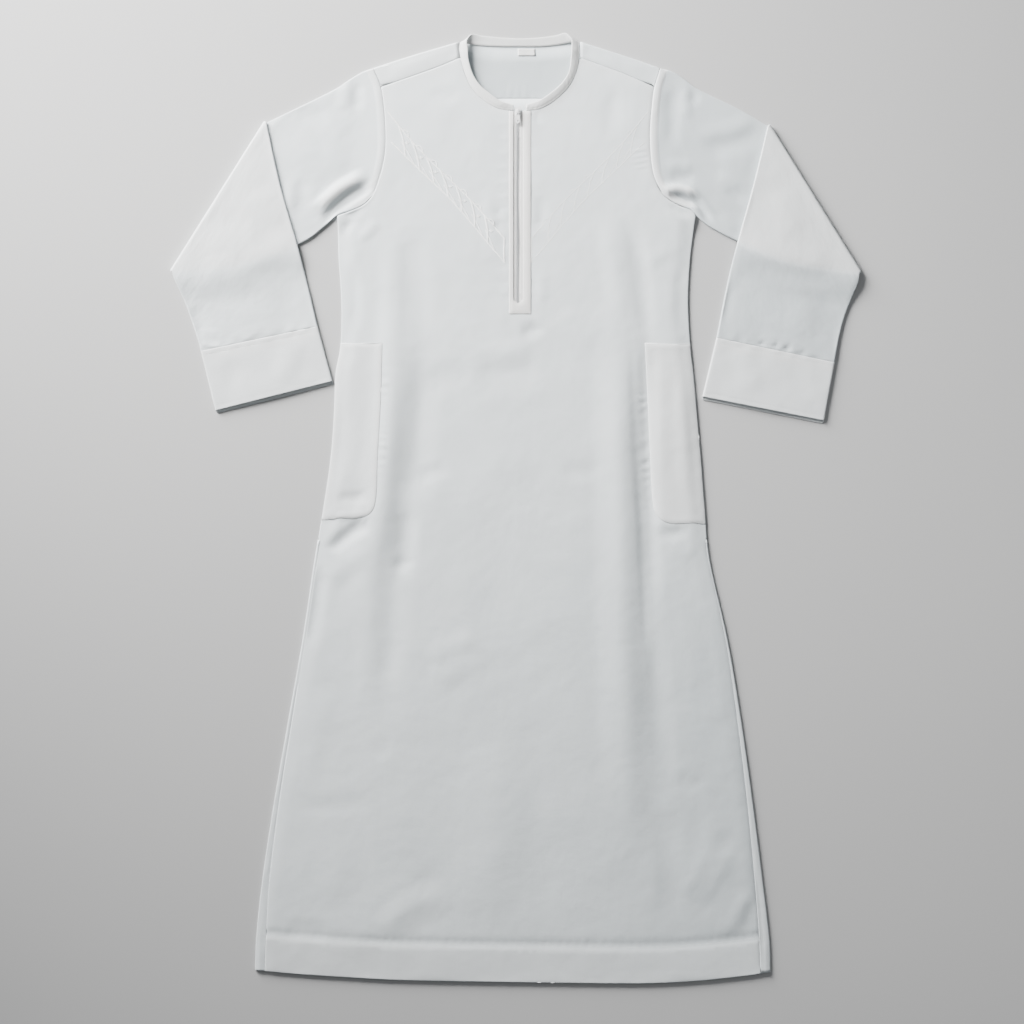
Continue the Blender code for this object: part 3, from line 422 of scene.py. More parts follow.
def cloth_material(name, colour, roughness=0.62, sheen=0.25, threads=1900.0, rumples=0.0012,
                   weave=0.00005):
    """White polyester: weave and rumples in the bump, slubs and tone in colour and roughness.

    One layer lets a little of the dark floor through. Where the attribute is 1 the cloth is double, and
    whiter.
    Where it is below 0 the colour is painted shade: darker and cooler, where the light falls off or a
    raised part shades the cloth.
    """
    material, tree, shader = new_material(name, Sheen_Weight=sheen, Sheen_Roughness=0.4,
                                          Specular_IOR_Level=0.35)
    place = add_node(tree, "ShaderNodeUVMap", uv_map="thread").outputs[0]
    woven = add_node(tree, "ShaderNodeGroup", node_tree=WEAVE)
    rumple = add_node(tree, "ShaderNodeGroup", node_tree=RUMPLE)
    woven.inputs["Threads"].default_value = threads
    for node in (woven, rumple):
        tree.links.new(place, node.inputs["Vector"])
    low = add_node(tree, "ShaderNodeBump", {
        "Strength": 1.0, "Distance": rumples, "Height": rumple.outputs["Height"]}).outputs[0]
    fine = add_node(tree, "ShaderNodeBump", {
        "Strength": 0.6, "Distance": weave, "Height": woven.outputs["Height"], "Normal": low}).outputs[0]
    mixed = math_node(tree, "ADD", math_node(tree, "MULTIPLY", rumple.outputs["Tone"], 0.5),
                      math_node(tree, "MULTIPLY", woven.outputs["Slub"], 0.5))
    tone = add_node(tree, "ShaderNodeMix", {
        "A": (*[c * 0.95 for c in colour], 1.0), "B": (*[min(1.0, c * 1.04) for c in colour], 1.0),
        "Factor": mixed}, data_type="RGBA").outputs["Result"]
    layers = add_node(tree, "ShaderNodeAttribute", attribute_name="layers").outputs["Fac"]
    double = add_node(tree, "ShaderNodeMix", {"A": tone, "B": (*DOUBLED, 1.0), "Factor": layers},
                      data_type="RGBA", blend_type="MULTIPLY", clamp_factor=True).outputs["Result"]
    # below 0 the attribute paints shade: the colour darkens and cools towards the painted shade tint
    painted_shade = math_node(tree, "MULTIPLY", layers, -1.0)
    shaded_colour = add_node(tree, "ShaderNodeMix", {"A": double, "B": (*PAINTED_SHADE_TINT, 1.0), "Factor": painted_shade},
                     data_type="RGBA", blend_type="MULTIPLY", clamp_factor=True).outputs["Result"]
    spread = math_node(tree, "MULTIPLY", woven.outputs["Slub"], 0.12)
    rough = math_node(tree, "ADD", spread, roughness - 0.06)
    for source, label in ((fine, "Normal"), (shaded_colour, "Base Color"), (rough, "Roughness")):
        tree.links.new(source, shader.inputs[label])
    return material


def speckled_material(name, scale, low, high, rough, rough_spread=0.0, detail=2.0, bump=0.0, **values):
    """Two close tones in a fine noise that follows the object, for plastic, metal and floor."""
    material, tree, shader = new_material(name, Roughness=rough, **values)
    place = add_node(tree, "ShaderNodeTexCoord").outputs["Object"]
    speck = add_node(tree, "ShaderNodeTexNoise", {
        "Scale": scale, "Detail": detail, "Vector": place}).outputs["Fac"]
    tone = add_node(tree, "ShaderNodeMix", {"A": (*low, 1), "B": (*high, 1), "Factor": speck},
                    data_type="RGBA")
    tree.links.new(tone.outputs["Result"], shader.inputs["Base Color"])
    if rough_spread:
        uneven = math_node(tree, "ADD", math_node(tree, "MULTIPLY", speck, rough_spread), rough)
        tree.links.new(uneven, shader.inputs["Roughness"])
    if bump:
        worn = add_node(tree, "ShaderNodeBump", {"Distance": bump, "Height": speck})
        tree.links.new(worn.outputs[0], shader.inputs["Normal"])
    return material


WHITE = (0.690, 0.733, 0.748)
robe_cloth = cloth_material("robe_cloth", WHITE)
band_cloth = cloth_material("band_cloth", (0.728, 0.736, 0.728), rumples=0.0008)
placket_cloth = cloth_material("placket_cloth", (0.735, 0.748, 0.742), rumples=0.0006)
tape_cloth = cloth_material("tape_cloth", (0.74, 0.75, 0.75), 0.75, 0.1, 1100.0, 0.0002, 0.00012)
label_cloth = cloth_material("label_cloth", (0.76, 0.76, 0.75), 0.55, 0.3, 2600.0, 0.0002)
thread_material = cloth_material("thread", (0.80, 0.81, 0.80), 0.5, 0.3, 2600.0, 0.0, 0.0)
# the satin thread is whiter than the plain one: partly a whiter thread, partly painted sheen for the left
# arm
satin_painted_sheen = cloth_material("satin_thread_painted_sheen", (0.95, 0.955, 0.945), 0.42, 0.3, 2600.0, 0.0, 0.0)
print("cloth materials", len(bpy.data.materials))

# %% [markdown]
# ## Laid pieces
# A panel that lies flat is cut as a plan outline and filled with small even triangles. Rows of points
# run close inside each seam, so the cloth can dip softly into it, as pressed seams do. Then every
# point is lifted to the height of the cloth there.

# %% Filling an outline with cloth
def inside_ring(points, ring):
    x, y = points[:, 0], points[:, 1]
    found = np.zeros(len(points), bool)
    for (ax, ay), (bx, by) in zip(ring, np.roll(ring, -1, axis=0)):
        if ay == by:
            continue
        crosses = ((ay > y) != (by > y)) & (x < (bx - ax) * (y - ay) / (by - ay) + ax)
        found ^= crosses
    return found


def gap_finder(points):
    """A function that gives each spot's distance to the nearest of these points."""
    tree = kdtree.KDTree(len(points))
    for index, (x, y) in enumerate(points):
        tree.insert((x, y, 0.0), index)
    tree.balance()
    return lambda spots: np.array([tree.find((x, y, 0.0))[2] for x, y in spots])


def fill_outline(ring, spacing, insets=(1.3, 2.8, 5.0), extra=None):
    """Plan points and triangles inside a ring, and each point's distance to it."""
    ring = np.array(ring, float)
    area = 0.5 * np.sum(ring[:, 0] * np.roll(ring[:, 1], -1) - np.roll(ring[:, 0], -1) * ring[:, 1])
    if area < 0:
        ring = ring[::-1]
    closed = np.vstack((ring, ring[:1]))
    distance = gap_finder(evenly(closed, 1.5))
    found = [ring]
    for inset in insets:
        row = offset_path(evenly(closed, max(2.5, inset * 1.3)), -inset)[:-1]
        row = row[inside_ring(row, ring)]
        found.append(row[distance(row) > inset * 0.85])
    low, high = ring.min(0), ring.max(0)
    rise = spacing * math.sqrt(3) / 2
    rows = np.arange(low[1], high[1], rise)
    grid = np.array([(x + (k % 2) * spacing / 2, y) for k, y in enumerate(rows)
                     for x in np.arange(low[0], high[0], spacing)])
    grid = grid[inside_ring(grid, ring)]
    grid = grid[distance(grid) > (insets[-1] if insets else 0) + spacing * 0.55]
    if extra is not None:
        extra = extra[inside_ring(extra, ring)]
        extra = extra[distance(extra) > insets[-1] + 1.5]
        grid = grid[gap_finder(extra)(grid) > 3.4]
        found.append(extra)
    found.append(grid)
    points = np.vstack(found)
    edges = [(k, (k + 1) % len(ring)) for k in range(len(ring))]
    plan = delaunay_2d_cdt([Vector(p) for p in points], edges, [], 0, 1e-5)
    points = np.array([tuple(p) for p in plan[0]])
    faces = np.array([tuple(f) for f in plan[2]])
    middles = points[faces].mean(axis=1)
    faces = faces[inside_ring(middles, ring)]
    used = np.unique(faces)
    order = np.full(len(points), -1)
    order[used] = np.arange(len(used))
    points, faces = points[used], order[faces]
    return points, faces, distance(points)


def tuck(distance):
    """How far the edge of a piece sinks under the one that laps over it."""
    return 0.62 * bell(distance, 2.3) + 0.08 * bell(distance, 5.0)


def dip(distance, depth, width=2.2):
    """How far the cloth sinks towards a seam."""
    return depth * bell(distance, width) + 0.25 * depth * bell(distance, 7.0)


def seam_dip(distance):
    return dip(distance, 0.22, 1.3)


# %% Making a piece
def in_scene(name, data):
    """An object with this data, in the scene."""
    thing = bpy.data.objects.new(name, data)
    bpy.context.scene.collection.objects.link(thing)
    return thing


def add_piece(solid, points, faces, thread, material=robe_cloth, slot="white_cloth", thickness=CLOTH,
              layers=0.0):
    """A mesh of cloth from millimetre points, thickened inwards, in the place of a solid."""
    name = solid.replace("zip_", "") + "_cloth"
    mesh = bpy.data.meshes.new(name)
    points = np.asarray(points, float)
    mesh.from_pydata([tuple(p) for p in points * MM], [], [tuple(int(k) for k in f) for f in faces])
    mesh.validate()
    corners = np.empty(len(mesh.loops), np.int32)
    mesh.loops.foreach_get("vertex_index", corners)
    layer = mesh.uv_layers.new(name="thread")
    layer.data.foreach_set("uv", (np.asarray(thread, float) * MM)[corners].ravel())
    count = mesh.attributes.new("layers", "FLOAT", "POINT")
    amount = np.broadcast_to(np.asarray(layers, np.float32), len(mesh.vertices))
    count.data.foreach_set("value", amount.copy())
    mesh.materials.append(material)
    mesh.shade_smooth()
    piece = in_scene(name, mesh)
    if thickness:
        solidify = piece.modifiers.new("cloth thickness", "SOLIDIFY")
        solidify.thickness = thickness * MM
        solidify.offset = -1.0
        solidify.use_rim = True
    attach(piece, "garment")
    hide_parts(solid)
    print(name, len(mesh.vertices), "points", len(mesh.polygons), "faces")
    return piece


# %% [markdown]
# ## Front panel
# The front is one piece from the yoke to the hem with a slit for the zip. Its long folds come from the
# solid. The smaller creases here were placed where the photograph shows them: beside the
# placket, at the armpits, under the pockets and across the skirt.

# %% Creases of the front, in millimetres: start, middle, end, half width, height, sharpness
FRONT_CREASES = (
    # the long left fold and the dents along its right side
    ((-190, 420), (-184, 330), (-190, 190), 16, 1.5), ((-150, 430), (-148, 330), (-140, 250), 20, -1.3),
    ((-186, 240), (-190, 80), (-204, -90), 15, 1.5), ((-136, 225), (-140, 110), (-150, -20), 20, -1.9),
    ((-160, 10), (-164, -60), (-168, -110), 14, -1.7), ((-160, -74), (-170, -84), (-184, -92), 10, -1.5),
    ((-204, -90), (-214, -200), (-226, -330), 20, 1.0),
    ((-184, -190), (-190, -225), (-196, -260), 16, -0.8),
    ((-186, -345), (-200, -358), (-218, -368), 15, -0.8), ((-100, 62), (-124, 54), (-150, 44), 11, -1.0),
    # the long right fold: a ridge, then a narrow valley beside the pocket
    ((138, 440), (148, 370), (160, 270), 17, 1.8), ((170, 440), (188, 350), (198, 240), 13, -1.8),
    ((160, 280), (160, 60), (170, -200), 18, 0.9), ((199, 300), (197, 70), (206, -190), 14, -2.7),
    ((170, -180), (180, -360), (188, -540), 20, 0.9), ((208, -140), (218, -320), (228, -470), 15, -1.5),
    ((222, -440), (228, -530), (236, -620), 18, -1.4), ((250, -120), (262, -200), (272, -290), 22, 1.0),
    ((172, 268), (180, 80), (188, -60), 5, -1.1), ((184, 40), (190, -110), (196, -240), 5, -0.9),
    # the sag under the placket and across the belly
    ((44, 206), (-10, 200), (-70, 196), 26, -1.1), ((-60, 200), (-104, 196), (-134, 182), 18, -0.8),
    ((40, 232), (-20, 228), (-80, 222), 18, 1.1), ((36, 276), (26, 266), (8, 262), 10, -1.8),
    ((60, 300), (96, 262), (130, 250), 26, 0.7), ((-120, 300), (-90, 270), (-40, 262), 26, 0.6),
    ((60, 58), (100, 55), (140, 60), 14, -0.8), ((-40, 78), (-10, 66), (20, 70), 22, 0.5),
    # below the armpits and along the body's edges
    ((-246, 372), (-240, 320), (-242, 256), 9, -1.5), ((247, 372), (243, 310), (246, 250), 9, -0.8),
    ((-262, 436), (-240, 446), (-206, 476), 7, -2.4), ((-258, 408), (-250, 424), (-236, 436), 7, -1.6),
    ((262, 436), (244, 444), (226, 458), 5, -1.6), ((258, 428), (240, 436), (224, 450), 4, 0.8),
    ((-240, 402), (-222, 412), (-206, 432), 8, 1.3), ((240, 395), (214, 376), (190, 366), 12, 0.7),
    ((150, 640), (143, 590), (142, 545), 12, -0.9), ((180, 620), (174, 585), (170, 550), 12, 0.5),
    ((-130, 622), (-104, 616), (-84, 622), 12, -0.8),
    # beside the placket
    ((-34, 446), (-27, 441), (-18, 440), 6, -0.8), ((-35, 426), (-28, 421), (-19, 420), 6, -0.7),
    ((-44, 480), (-38, 430), (-32, 370), 10, 0.7), ((36, 470), (38, 445), (34, 415), 9, -0.9),
    ((28, 600), (30, 588), (30, 570), 6, -0.9), ((34, 360), (38, 330), (34, 300), 9, 0.7),
    # under the pockets
    ((-214, -20), (-248, -38), (-286, -70), 10, -3.6), ((-222, -60), (-252, -84), (-284, -112), 15, 1.6),
    ((-286, -76), (-296, -140), (-306, -215), 11, -1.6), ((210, -30), (226, -38), (262, -34), 9, -1.6),
    ((-272, 17), (-246, 14), (-216, 22), 9, -1.6), ((-278, -8), (-250, -11), (-222, -4), 7, 1.3),
    ((-262, 2), (-270, -14), (-280, -30), 6, -1.0), ((-254, 166), (-257, 104), (-264, 40), 13, -0.9),
    ((252, 222), (250, 120), (256, 6), 12, 1.1),
    ((222, -60), (246, -62), (268, -74), 14, 0.8),
    # the skirt
    ((-44, -206), (-88, -226), (-136, -246), 15, -1.0), ((-50, -184), (-92, -200), (-140, -222), 15, 0.7),
    ((-280, -260), (-300, -350), (-318, -430), 18, 0.8),
    ((-330, -432), (-300, -446), (-200, -438), 14, -0.8),
    ((-212, -642), (-192, -594), (-104, -546), 17, -1.3),
    ((-180, -640), (-160, -604), (-90, -572), 22, 0.9),
    ((-350, -630), (-310, -628), (-276, -644), 13, -1.1),
    ((236, -400), (262, -412), (288, -414), 12, -0.8),
    ((262, -596), (294, -530), (326, -470), 13, -0.8), ((250, -590), (278, -526), (312, -464), 15, 0.5),
    ((286, -644), (316, -596), (346, -552), 13, -0.9), ((318, -640), (336, -600), (352, -570), 11, 0.6),
    ((340, -640), (350, -610), (358, -580), 10, -0.7),
    ((-250, -480), (-270, -540), (-262, -600), 24, 0.7),
    ((60, -500), (74, -560), (80, -630), 30, 0.6),
)


def armhole_puckers(x, y):
    """Short ripples where the right armhole seam gathers the cloth."""
    total = np.zeros_like(x)
    for side, low, high, size in (("right", 500, 545, 0.32), ("left", 520, 560, 0.14)):
        inward = (body_edge(y, side) - x) * (1 if side == "right" else -1)
        reach = bell(inward - 14, 14.0) * between(y, low, 10, high, 10)
        total += size * reach * np.sin((y + 0.15 * inward) * TURN / 8.5)
    return total


def placket_puckers(x, y):
    """Short level pulls that the placket's stitching leaves, mostly on its left."""
    total = np.zeros_like(x)
    for edge, sign, size in ((PLACKET["left"], -1, 0.34), (PLACKET["right"], 1, 0.2)):
        gap = (x - edge) * sign
        reach = np.exp(-np.clip(gap, 0, None) / 13.0) * (gap > 0)
        span = between(y, 296, 20, 588, 14)
        wave = np.sin(y * TURN / 25.0 + 1.6 * np.sin(y / 41.0)) + 0.5 * np.sin(y * TURN / 11.0)
        total += size * reach * span * wave
    return total


def pocket_puckers(x, y):
    """Small uneven gathers along the pockets' inner stitching."""
    total = np.zeros_like(x)
    # side, inward sign, lowest and highest place, length and height of one gather
    for side, sign, low, high, length, size in (("left", 1, 30, 222, 12.5, 0.46),
                                                ("right", -1, -24, 190, 16.0, 0.52)):
        seam = through(POCKET[side][:4])
        gap = (x - np.interp(y, seam[::-1, 1], seam[::-1, 0])) * sign
        band = bell(gap - 7, 10.0) * smooth_step((gap + 1.0) / 4.0) * between(y, low, 30, high, 40)
        uneven = 2.1 * np.sin(y / 23.0 + sign) + 0.9 * np.sin(y / 9.1) + 0.11 * gap
        wave = np.sin(y * TURN / length + uneven)
        total += size * band * wave * (0.58 + 0.42 * np.sin(y / 17.0 + 2.4 * sign))
    return total


def front_top(x, y):
    """Top of the front's cloth with every crease, in millimetres."""
    x, y = np.asarray(x, float), np.asarray(y, float)
    edge = edge_gap(x, y)
    calm = smooth_step(edge / 30.0)
    near_zip = smooth_step((np.abs(x - ZIP_MIDDLE) - 17.0) / 14.0)
    near_zip = np.where(y > 285, near_zip, 1.0)
    level = level_of_front(x, y)
    level += crease_rise(x, y, FRONT_CREASES) * smooth_step(edge / 8.0) * near_zip
    level += (rolling(x, y, 95.0, 0.9, 1) + rolling(x, y, 38.0, 0.28, 2)) * calm * near_zip
    level += placket_puckers(x, y) * smooth_step((np.abs(x - ZIP_MIDDLE) - 16.5) / 3.0)
    return level + (armhole_puckers(x, y) + pocket_puckers(x, y)) * near_zip


# %% Outline of the front
def neck_seam(side):
    rows = NECK_BAND[:7] if side == "left" else NECK_BAND[:-7:-1]
    curve = through([row[:2] for row in rows], 4)
    return offset_path(curve, -0.4 if side == "left" else 0.4)


LAP = 0.35


def front_side(side):
    """Armhole, then the body's edge, then the side seam, down to the hem."""
    inward = -LAP if side == "left" else LAP
    arm = [(x + inward, y) for x, y in through(ARMHOLE[side], 9)[12:-1]]
    upper = [(body_edge(y, side) - inward, y) for y in np.arange(436.0, LIP_TOP_Y, -6.0)]
    lower = [(seam_edge(y, side) + inward, y) for y in np.arange(LIP_TOP_Y, -690.0, -6.0)]
    corner = seam_edge(SEAM_END_Y, side) + inward
    return arm + upper + lower + [(corner, hem_y(corner))]


def front_ring():
    sides = {}
    for side in ("left", "right"):
        slot = SLOT_LEFT if side == "left" else SLOT_RIGHT
        beyond = -3 if side == "left" else 3
        neck = [tuple(p) for p in neck_seam(side) if (p[0] - slot - beyond) * beyond > 0]
        yoke = [(x, y + LAP) for x, y in through(YOKE_SEAM[side], 8)[1:]]
        sides[side] = [(slot, 593.6)] + neck + yoke + front_side(side)
    left, right = sides["left"], sides["right"]
    hem = [(x, hem_y(x)) for x in np.arange(left[-1][0] + 5, right[-1][0] - 4, 5.0)]
    slot = [(SLOT_RIGHT, y) for y in np.arange(588.0, SLOT_END_Y, -6.0)] + [(SLOT_RIGHT, SLOT_END_Y)]
    slot += [(SLOT_LEFT, SLOT_END_Y)] + [(SLOT_LEFT, y) for y in np.arange(SLOT_END_Y + 6, 590.0, 6.0)]
    return np.array(left + hem + right[::-1] + slot)


# %% Front panel
def finer_rows():
    """Rows of points where the puckers are small: by the pockets, the placket and the right armhole."""
    rows = []
    for side in ("left", "right"):
        seam = evenly(through(POCKET[side], 6), 3.2)
        rows += [offset_path(seam, shift) for shift in (-9.0, -6.0, -3.0, 0.0, 3.0, 6.0, 9.0)]
    for gap in (0.5, 3.5, 6.5, 10.0, 14.0):
        for x in (PLACKET["left"] - gap, PLACKET["right"] + gap):
            rows.append([(x, y) for y in np.arange(296.0, 594.0, 3.4)])
    across = np.arange(-366.0, 360.0, 4.0)
    fold = hem_y(across) + HEM_DEPTH
    rows += [np.column_stack((across, fold + shift)) for shift in (-4, -1, 2, 5, 8, 11)]
    for y in np.arange(494.0, 552.0, 2.8):
        rows.append([(body_edge(y, "right") - gap, y) for gap in np.arange(8.0, 32.0, 3.4)])
    return np.vstack(rows)


FRONT_SPACING = 5.6
points, faces, near = fill_outline(front_ring(), FRONT_SPACING, extra=finer_rows())
x, y = points.T
above_hem = y - hem_y(x) - HEM_DEPTH
hem_band = smooth_step(-above_hem / 5.0)
plain = level_of_front(x, y)
# on its right the front sinks under the armhole's seam and under the lip
sinks = smooth_step((x - 150) / 20) * np.where(y > 300, between(y, ARMPIT_Y - 1, 8, 632, 6),
                                               between(y, -690, 8, LIP_TOP_Y, 8))
edge_depth = seam_dip(near) + (tuck(near) - seam_dip(near)) * sinks
height = plain + (front_top(x, y) - plain) * smooth_step(near / 6.0) - edge_depth
height += 0.5 * hem_band - 0.3 * bell(above_hem, 2.0) - 1.1 * bell(above_hem - 5.0, 5.5)
height += 0.16 * bell(above_hem - 4, 7.0) * np.sin(x * TURN / 12.5 + 1.6 * np.sin(x / 40.0))
allowance = smooth_step((9.0 - near) / 1.5) * smooth_step((y - 440) / 40)
# painted shade: the front's colour darkens towards the hem and to the right, where the light falls off
painted_falloff = 0.2 * smooth_step((150 - y) / 500) * smooth_step((x + 300) / 300)
painted_falloff = painted_falloff + 0.5 * smooth_step((x - 40) / 260) * smooth_step((100 - y) / 350)
front_layers = np.clip(0.5 * hem_band + 0.5 * allowance, 0, 1) - painted_falloff * (1 - 0.6 * hem_band)
front = add_piece("front_panel", np.column_stack((x, y, height)), faces, points, layers=front_layers)

# %% [markdown]
# ## Pockets, placket and zip tapes
# These lie on the front panel, so their points are the front's own heights moved out a little. Each
# swells slightly between its stitch lines, because two layers never press quite flat.

# %% Pieces that lie on the front
def add_laid(solid, ring, spacing, lift, puff, insets, shape, layers=0.55, **looks):
    """A piece on the front's shape, lifted, swollen inside its edge, and doubled along the edge."""
    points, faces, near = fill_outline(ring, spacing, insets)
    x, y = points.T
    hemmed, sunk = (between(near, 0, 4.2, 8.6, 1.4), 0.13) if shape is front_top else (0.0, 0.06)
    height = shape(x, y) + lift + puff * (smooth_step(near / 5.0) + 0.6 * hemmed) - dip(near, sunk, 1.2)
    double = layers + (1 - layers) * smooth_step(8.0 - near)
    return add_piece(solid, np.column_stack((x, y, height)), faces, points, thickness=THIN_CLOTH,
                     layers=double, **looks)


def pocket_ring(side):
    inward = 0.5 if side == "left" else -0.5
    inner = [tuple(p) for p in evenly(through(POCKET[side], 4), 5.0)]
    edge = [(body_edge(y, side) + inward, y) for y in np.arange(POCKET_LOW_Y[side], 247.5, 5.0)]
    return np.array(inner + edge)


def placket_ring():
    p = PLACKET
    low, high = p["end"], p["top"]
    down = np.arange(high, low, -6.0)
    ring = [(p["left"], y) for y in down] + [(x, low) for x in np.linspace(p["left"], p["right"], 7)]
    ring += [(p["right"], y) for y in down[::-1]]
    inner = np.arange(high, p["bar"], -6.0)
    ring += [(p["inner_right"], y) for y in inner] + [(ZIP_X, p["bar"])]
    return np.array(ring + [(p["inner_left"], y) for y in inner[::-1]])


def tape_ring(side):
    inner = ZIP_X + (1.1 if side == "right" else -1.1)
    outer = SLOT_LEFT + 0.4 if side == "left" else SLOT_RIGHT - 0.4
    rows = np.arange(593.0, SLOT_END_Y, -6.0)
    return np.array([(inner, y) for y in rows] + [(outer, y) for y in rows[::-1]])


def smooth_front(x, y):
    """The front's level beside the zip, without the creases that stop at the placket."""
    return level_of_front(x, y) + 0.18 * np.sin(y / 23.0) * smooth_step((593 - y) / 60)


pieces = {"front": front}
for side in ("left", "right"):
    pieces[f"pocket_{side}"] = add_laid(
        f"pocket_{side}", pocket_ring(side), 4.8, 0.23, 0.45, (1.2, 2.4, 4.4), front_top,
        layers=0.55 if side == "left" else 1.1)
    pieces[f"tape_{side}"] = add_laid(
        f"zip_tape_{side}", tape_ring(side), 3.0, -0.50, 0.0, (), smooth_front,
        material=tape_cloth, slot="zip_tape")
pieces["placket"] = add_laid("placket", placket_ring(), 3.2, 0.28, 0.62, (1.0, 2.2), smooth_front,
                             material=placket_cloth)

# %% [markdown]
# ## Back panel
# The back rests on the floor and its sides come round onto the front below the hips, so the side seams
# show as two long lines. It is one sheet: a flat middle, a tight turn at each edge, and a lip on top.

# %% Back panel
def strip_faces(index, rows, columns):
    """Quads of a grid, where all four of their corners are in the index."""
    faces = []
    for row in range(rows - 1):
        for column in range(columns - 1):
            corners = [(row, column), (row, column + 1), (row + 1, column + 1), (row + 1, column)]
            if all(corner in index for corner in corners):
                faces.append(tuple(index[corner] for corner in corners))
    return faces


LIP_LEVEL, LIP_COLUMNS, EDGE_RADIUS = 3.6, 13, 1.8
LIP_CREASES = (
    ((-322, -300), (-330, -370), (-344, -430), 9, 0.9),
    ((-352, -470), (-362, -540), (-374, -610), 9, -0.9),
    ((322, -330), (334, -420), (344, -500), 9, 0.9),
    ((354, -520), (362, -600), (370, -660), 8, -0.8),
    ((-302, -110), (-306, -160), (-312, -210), 8, -0.6),
)


def lip_level(x, y, reach, end):
    """The lip rolls up from the fold, crosses the seam allowance, and sinks at the seam.

    On the left it sinks under the front, and on the right the front sinks under it.
    """
    gap = end - reach
    sign = 1 if x < 0 else -1
    hem = 0.35 * (1 - smooth_step((y + 655.0) / 5.0))
    level = LIP_LEVEL + 0.7 * bell(reach - 6, 5.0) * min(1.0, end / 16.0) + hem
    level += relief_at(x, y, LIP_CREASES, (42.0, 0.5, 5)) - 0.45 * bell(y + 650.0, 2.2)
    level += 0.30 * math.sin(y / 11.0 + 0.8 * math.sin(y / 37.0)) * bell(gap, 6.0)
    beside = float(level_of_front(np.array([x + sign * gap]), np.array([y]))[0]) + hem
    return level + (beside - level) * bell(gap, 4.0) - (tuck(gap) if sign > 0 else seam_dip(gap))


def back_panel():
    lip_rows = np.arange(LIP_TOP_Y, -694.0, -6.0)
    # close together round the armpits, and None for the hem
    rows = [YOKE_BACK_Y - 0.05, 600, 585, 570, 550, 535, 520, 500, 486, 478, 472, 466, 460, 456, 452, 449,
            446, 443.5, 441, 438.5, 436, 424, *np.arange(412, LIP_TOP_Y + 8, -12), *lip_rows, None]
    first_lip = len(rows) - 1 - len(lip_rows)
    shares = np.linspace(0, 1, 33)
    index, points, thread = {}, [], []

    def put(row, column, x, z, across):
        index[(row, column)] = len(points)
        points.append((x, hem_y(x) if rows[row] is None else level, z))
        thread.append((across, level))

    for row, y in enumerate(rows):
        level = float(SEAM_END_Y if y is None else y)
        at_arm = level > ARMPIT_Y - 1
        edges = {side: body_edge(level + 1.5 * at_arm, side) for side in ("left", "right")}
        inset = 0.9 if at_arm else 0.2 if row < first_lip else EDGE_RADIUS
        low, high = edges["left"] + inset, edges["right"] - inset
        for column, share in enumerate(shares):
            x = low + (high - low) * share
            below = YOKE_BACK_Y - level
            ripple = 0.10 * (1 + math.sin(x / 9.0)) * bell(below, 26.0) * min(1.0, below / 12.0)
            put(row, LIP_COLUMNS + column, x, ripple, x)
        if row < first_lip:
            continue
        for side, sign in SIDES:
            edge = edges[side]
            end = max(abs(seam_edge(level, side) - edge) - 0.04, EDGE_RADIUS + 0.4)
            profile = [(EDGE_RADIUS * (1 - math.sin(a)), EDGE_RADIUS * (1 - math.cos(a)))
                       for a in np.radians((30, 60, 90, 120, 150))]
            for part in (0.0, 0.14, 0.3, 0.48, 0.66, 0.82, 0.92, 1.0):
                profile.append((EDGE_RADIUS + (end - EDGE_RADIUS) * part, None))
            for step, (reach, z) in enumerate(profile):
                x = edge + sign * reach
                if z is None:
                    rise = smooth_step((reach - EDGE_RADIUS) / 4.0) if end > 5 else 0.0
                    z = LIP_LEVEL + (lip_level(x, level, reach, end) - LIP_LEVEL) * rise
                column = LIP_COLUMNS - 1 - step if side == "left" else LIP_COLUMNS + len(shares) + step
                put(row, column, x, z, edge - sign * reach)
    faces = strip_faces(index, len(rows), 2 * LIP_COLUMNS + len(shares))
    return add_piece("back_panel", points, faces, thread)


pieces["back"] = back_panel()

# %% [markdown]
# ## Yoke
# The yoke lies across the back of the shoulders, turns over the top of both shoulders and meets the
# front along the slanting seams. The fold at the top is soft, so it is a half round.

# %% Yoke
BACK_NECK = -60.0, 70.0  # the back's edge, at the two ends of the neck
INSET = 0.2
YOKE_CREASES = (
    ((-196, 646), (-160, 662), (-112, 676), 12, 0.7),
    ((200, 646), (166, 664), (120, 678), 12, 0.6),
    ((-100, 668), (-96, 684), (-104, 694), 7, -0.6),
    ((110, 672), (108, 684), (114, 694), 7, -0.6),
)


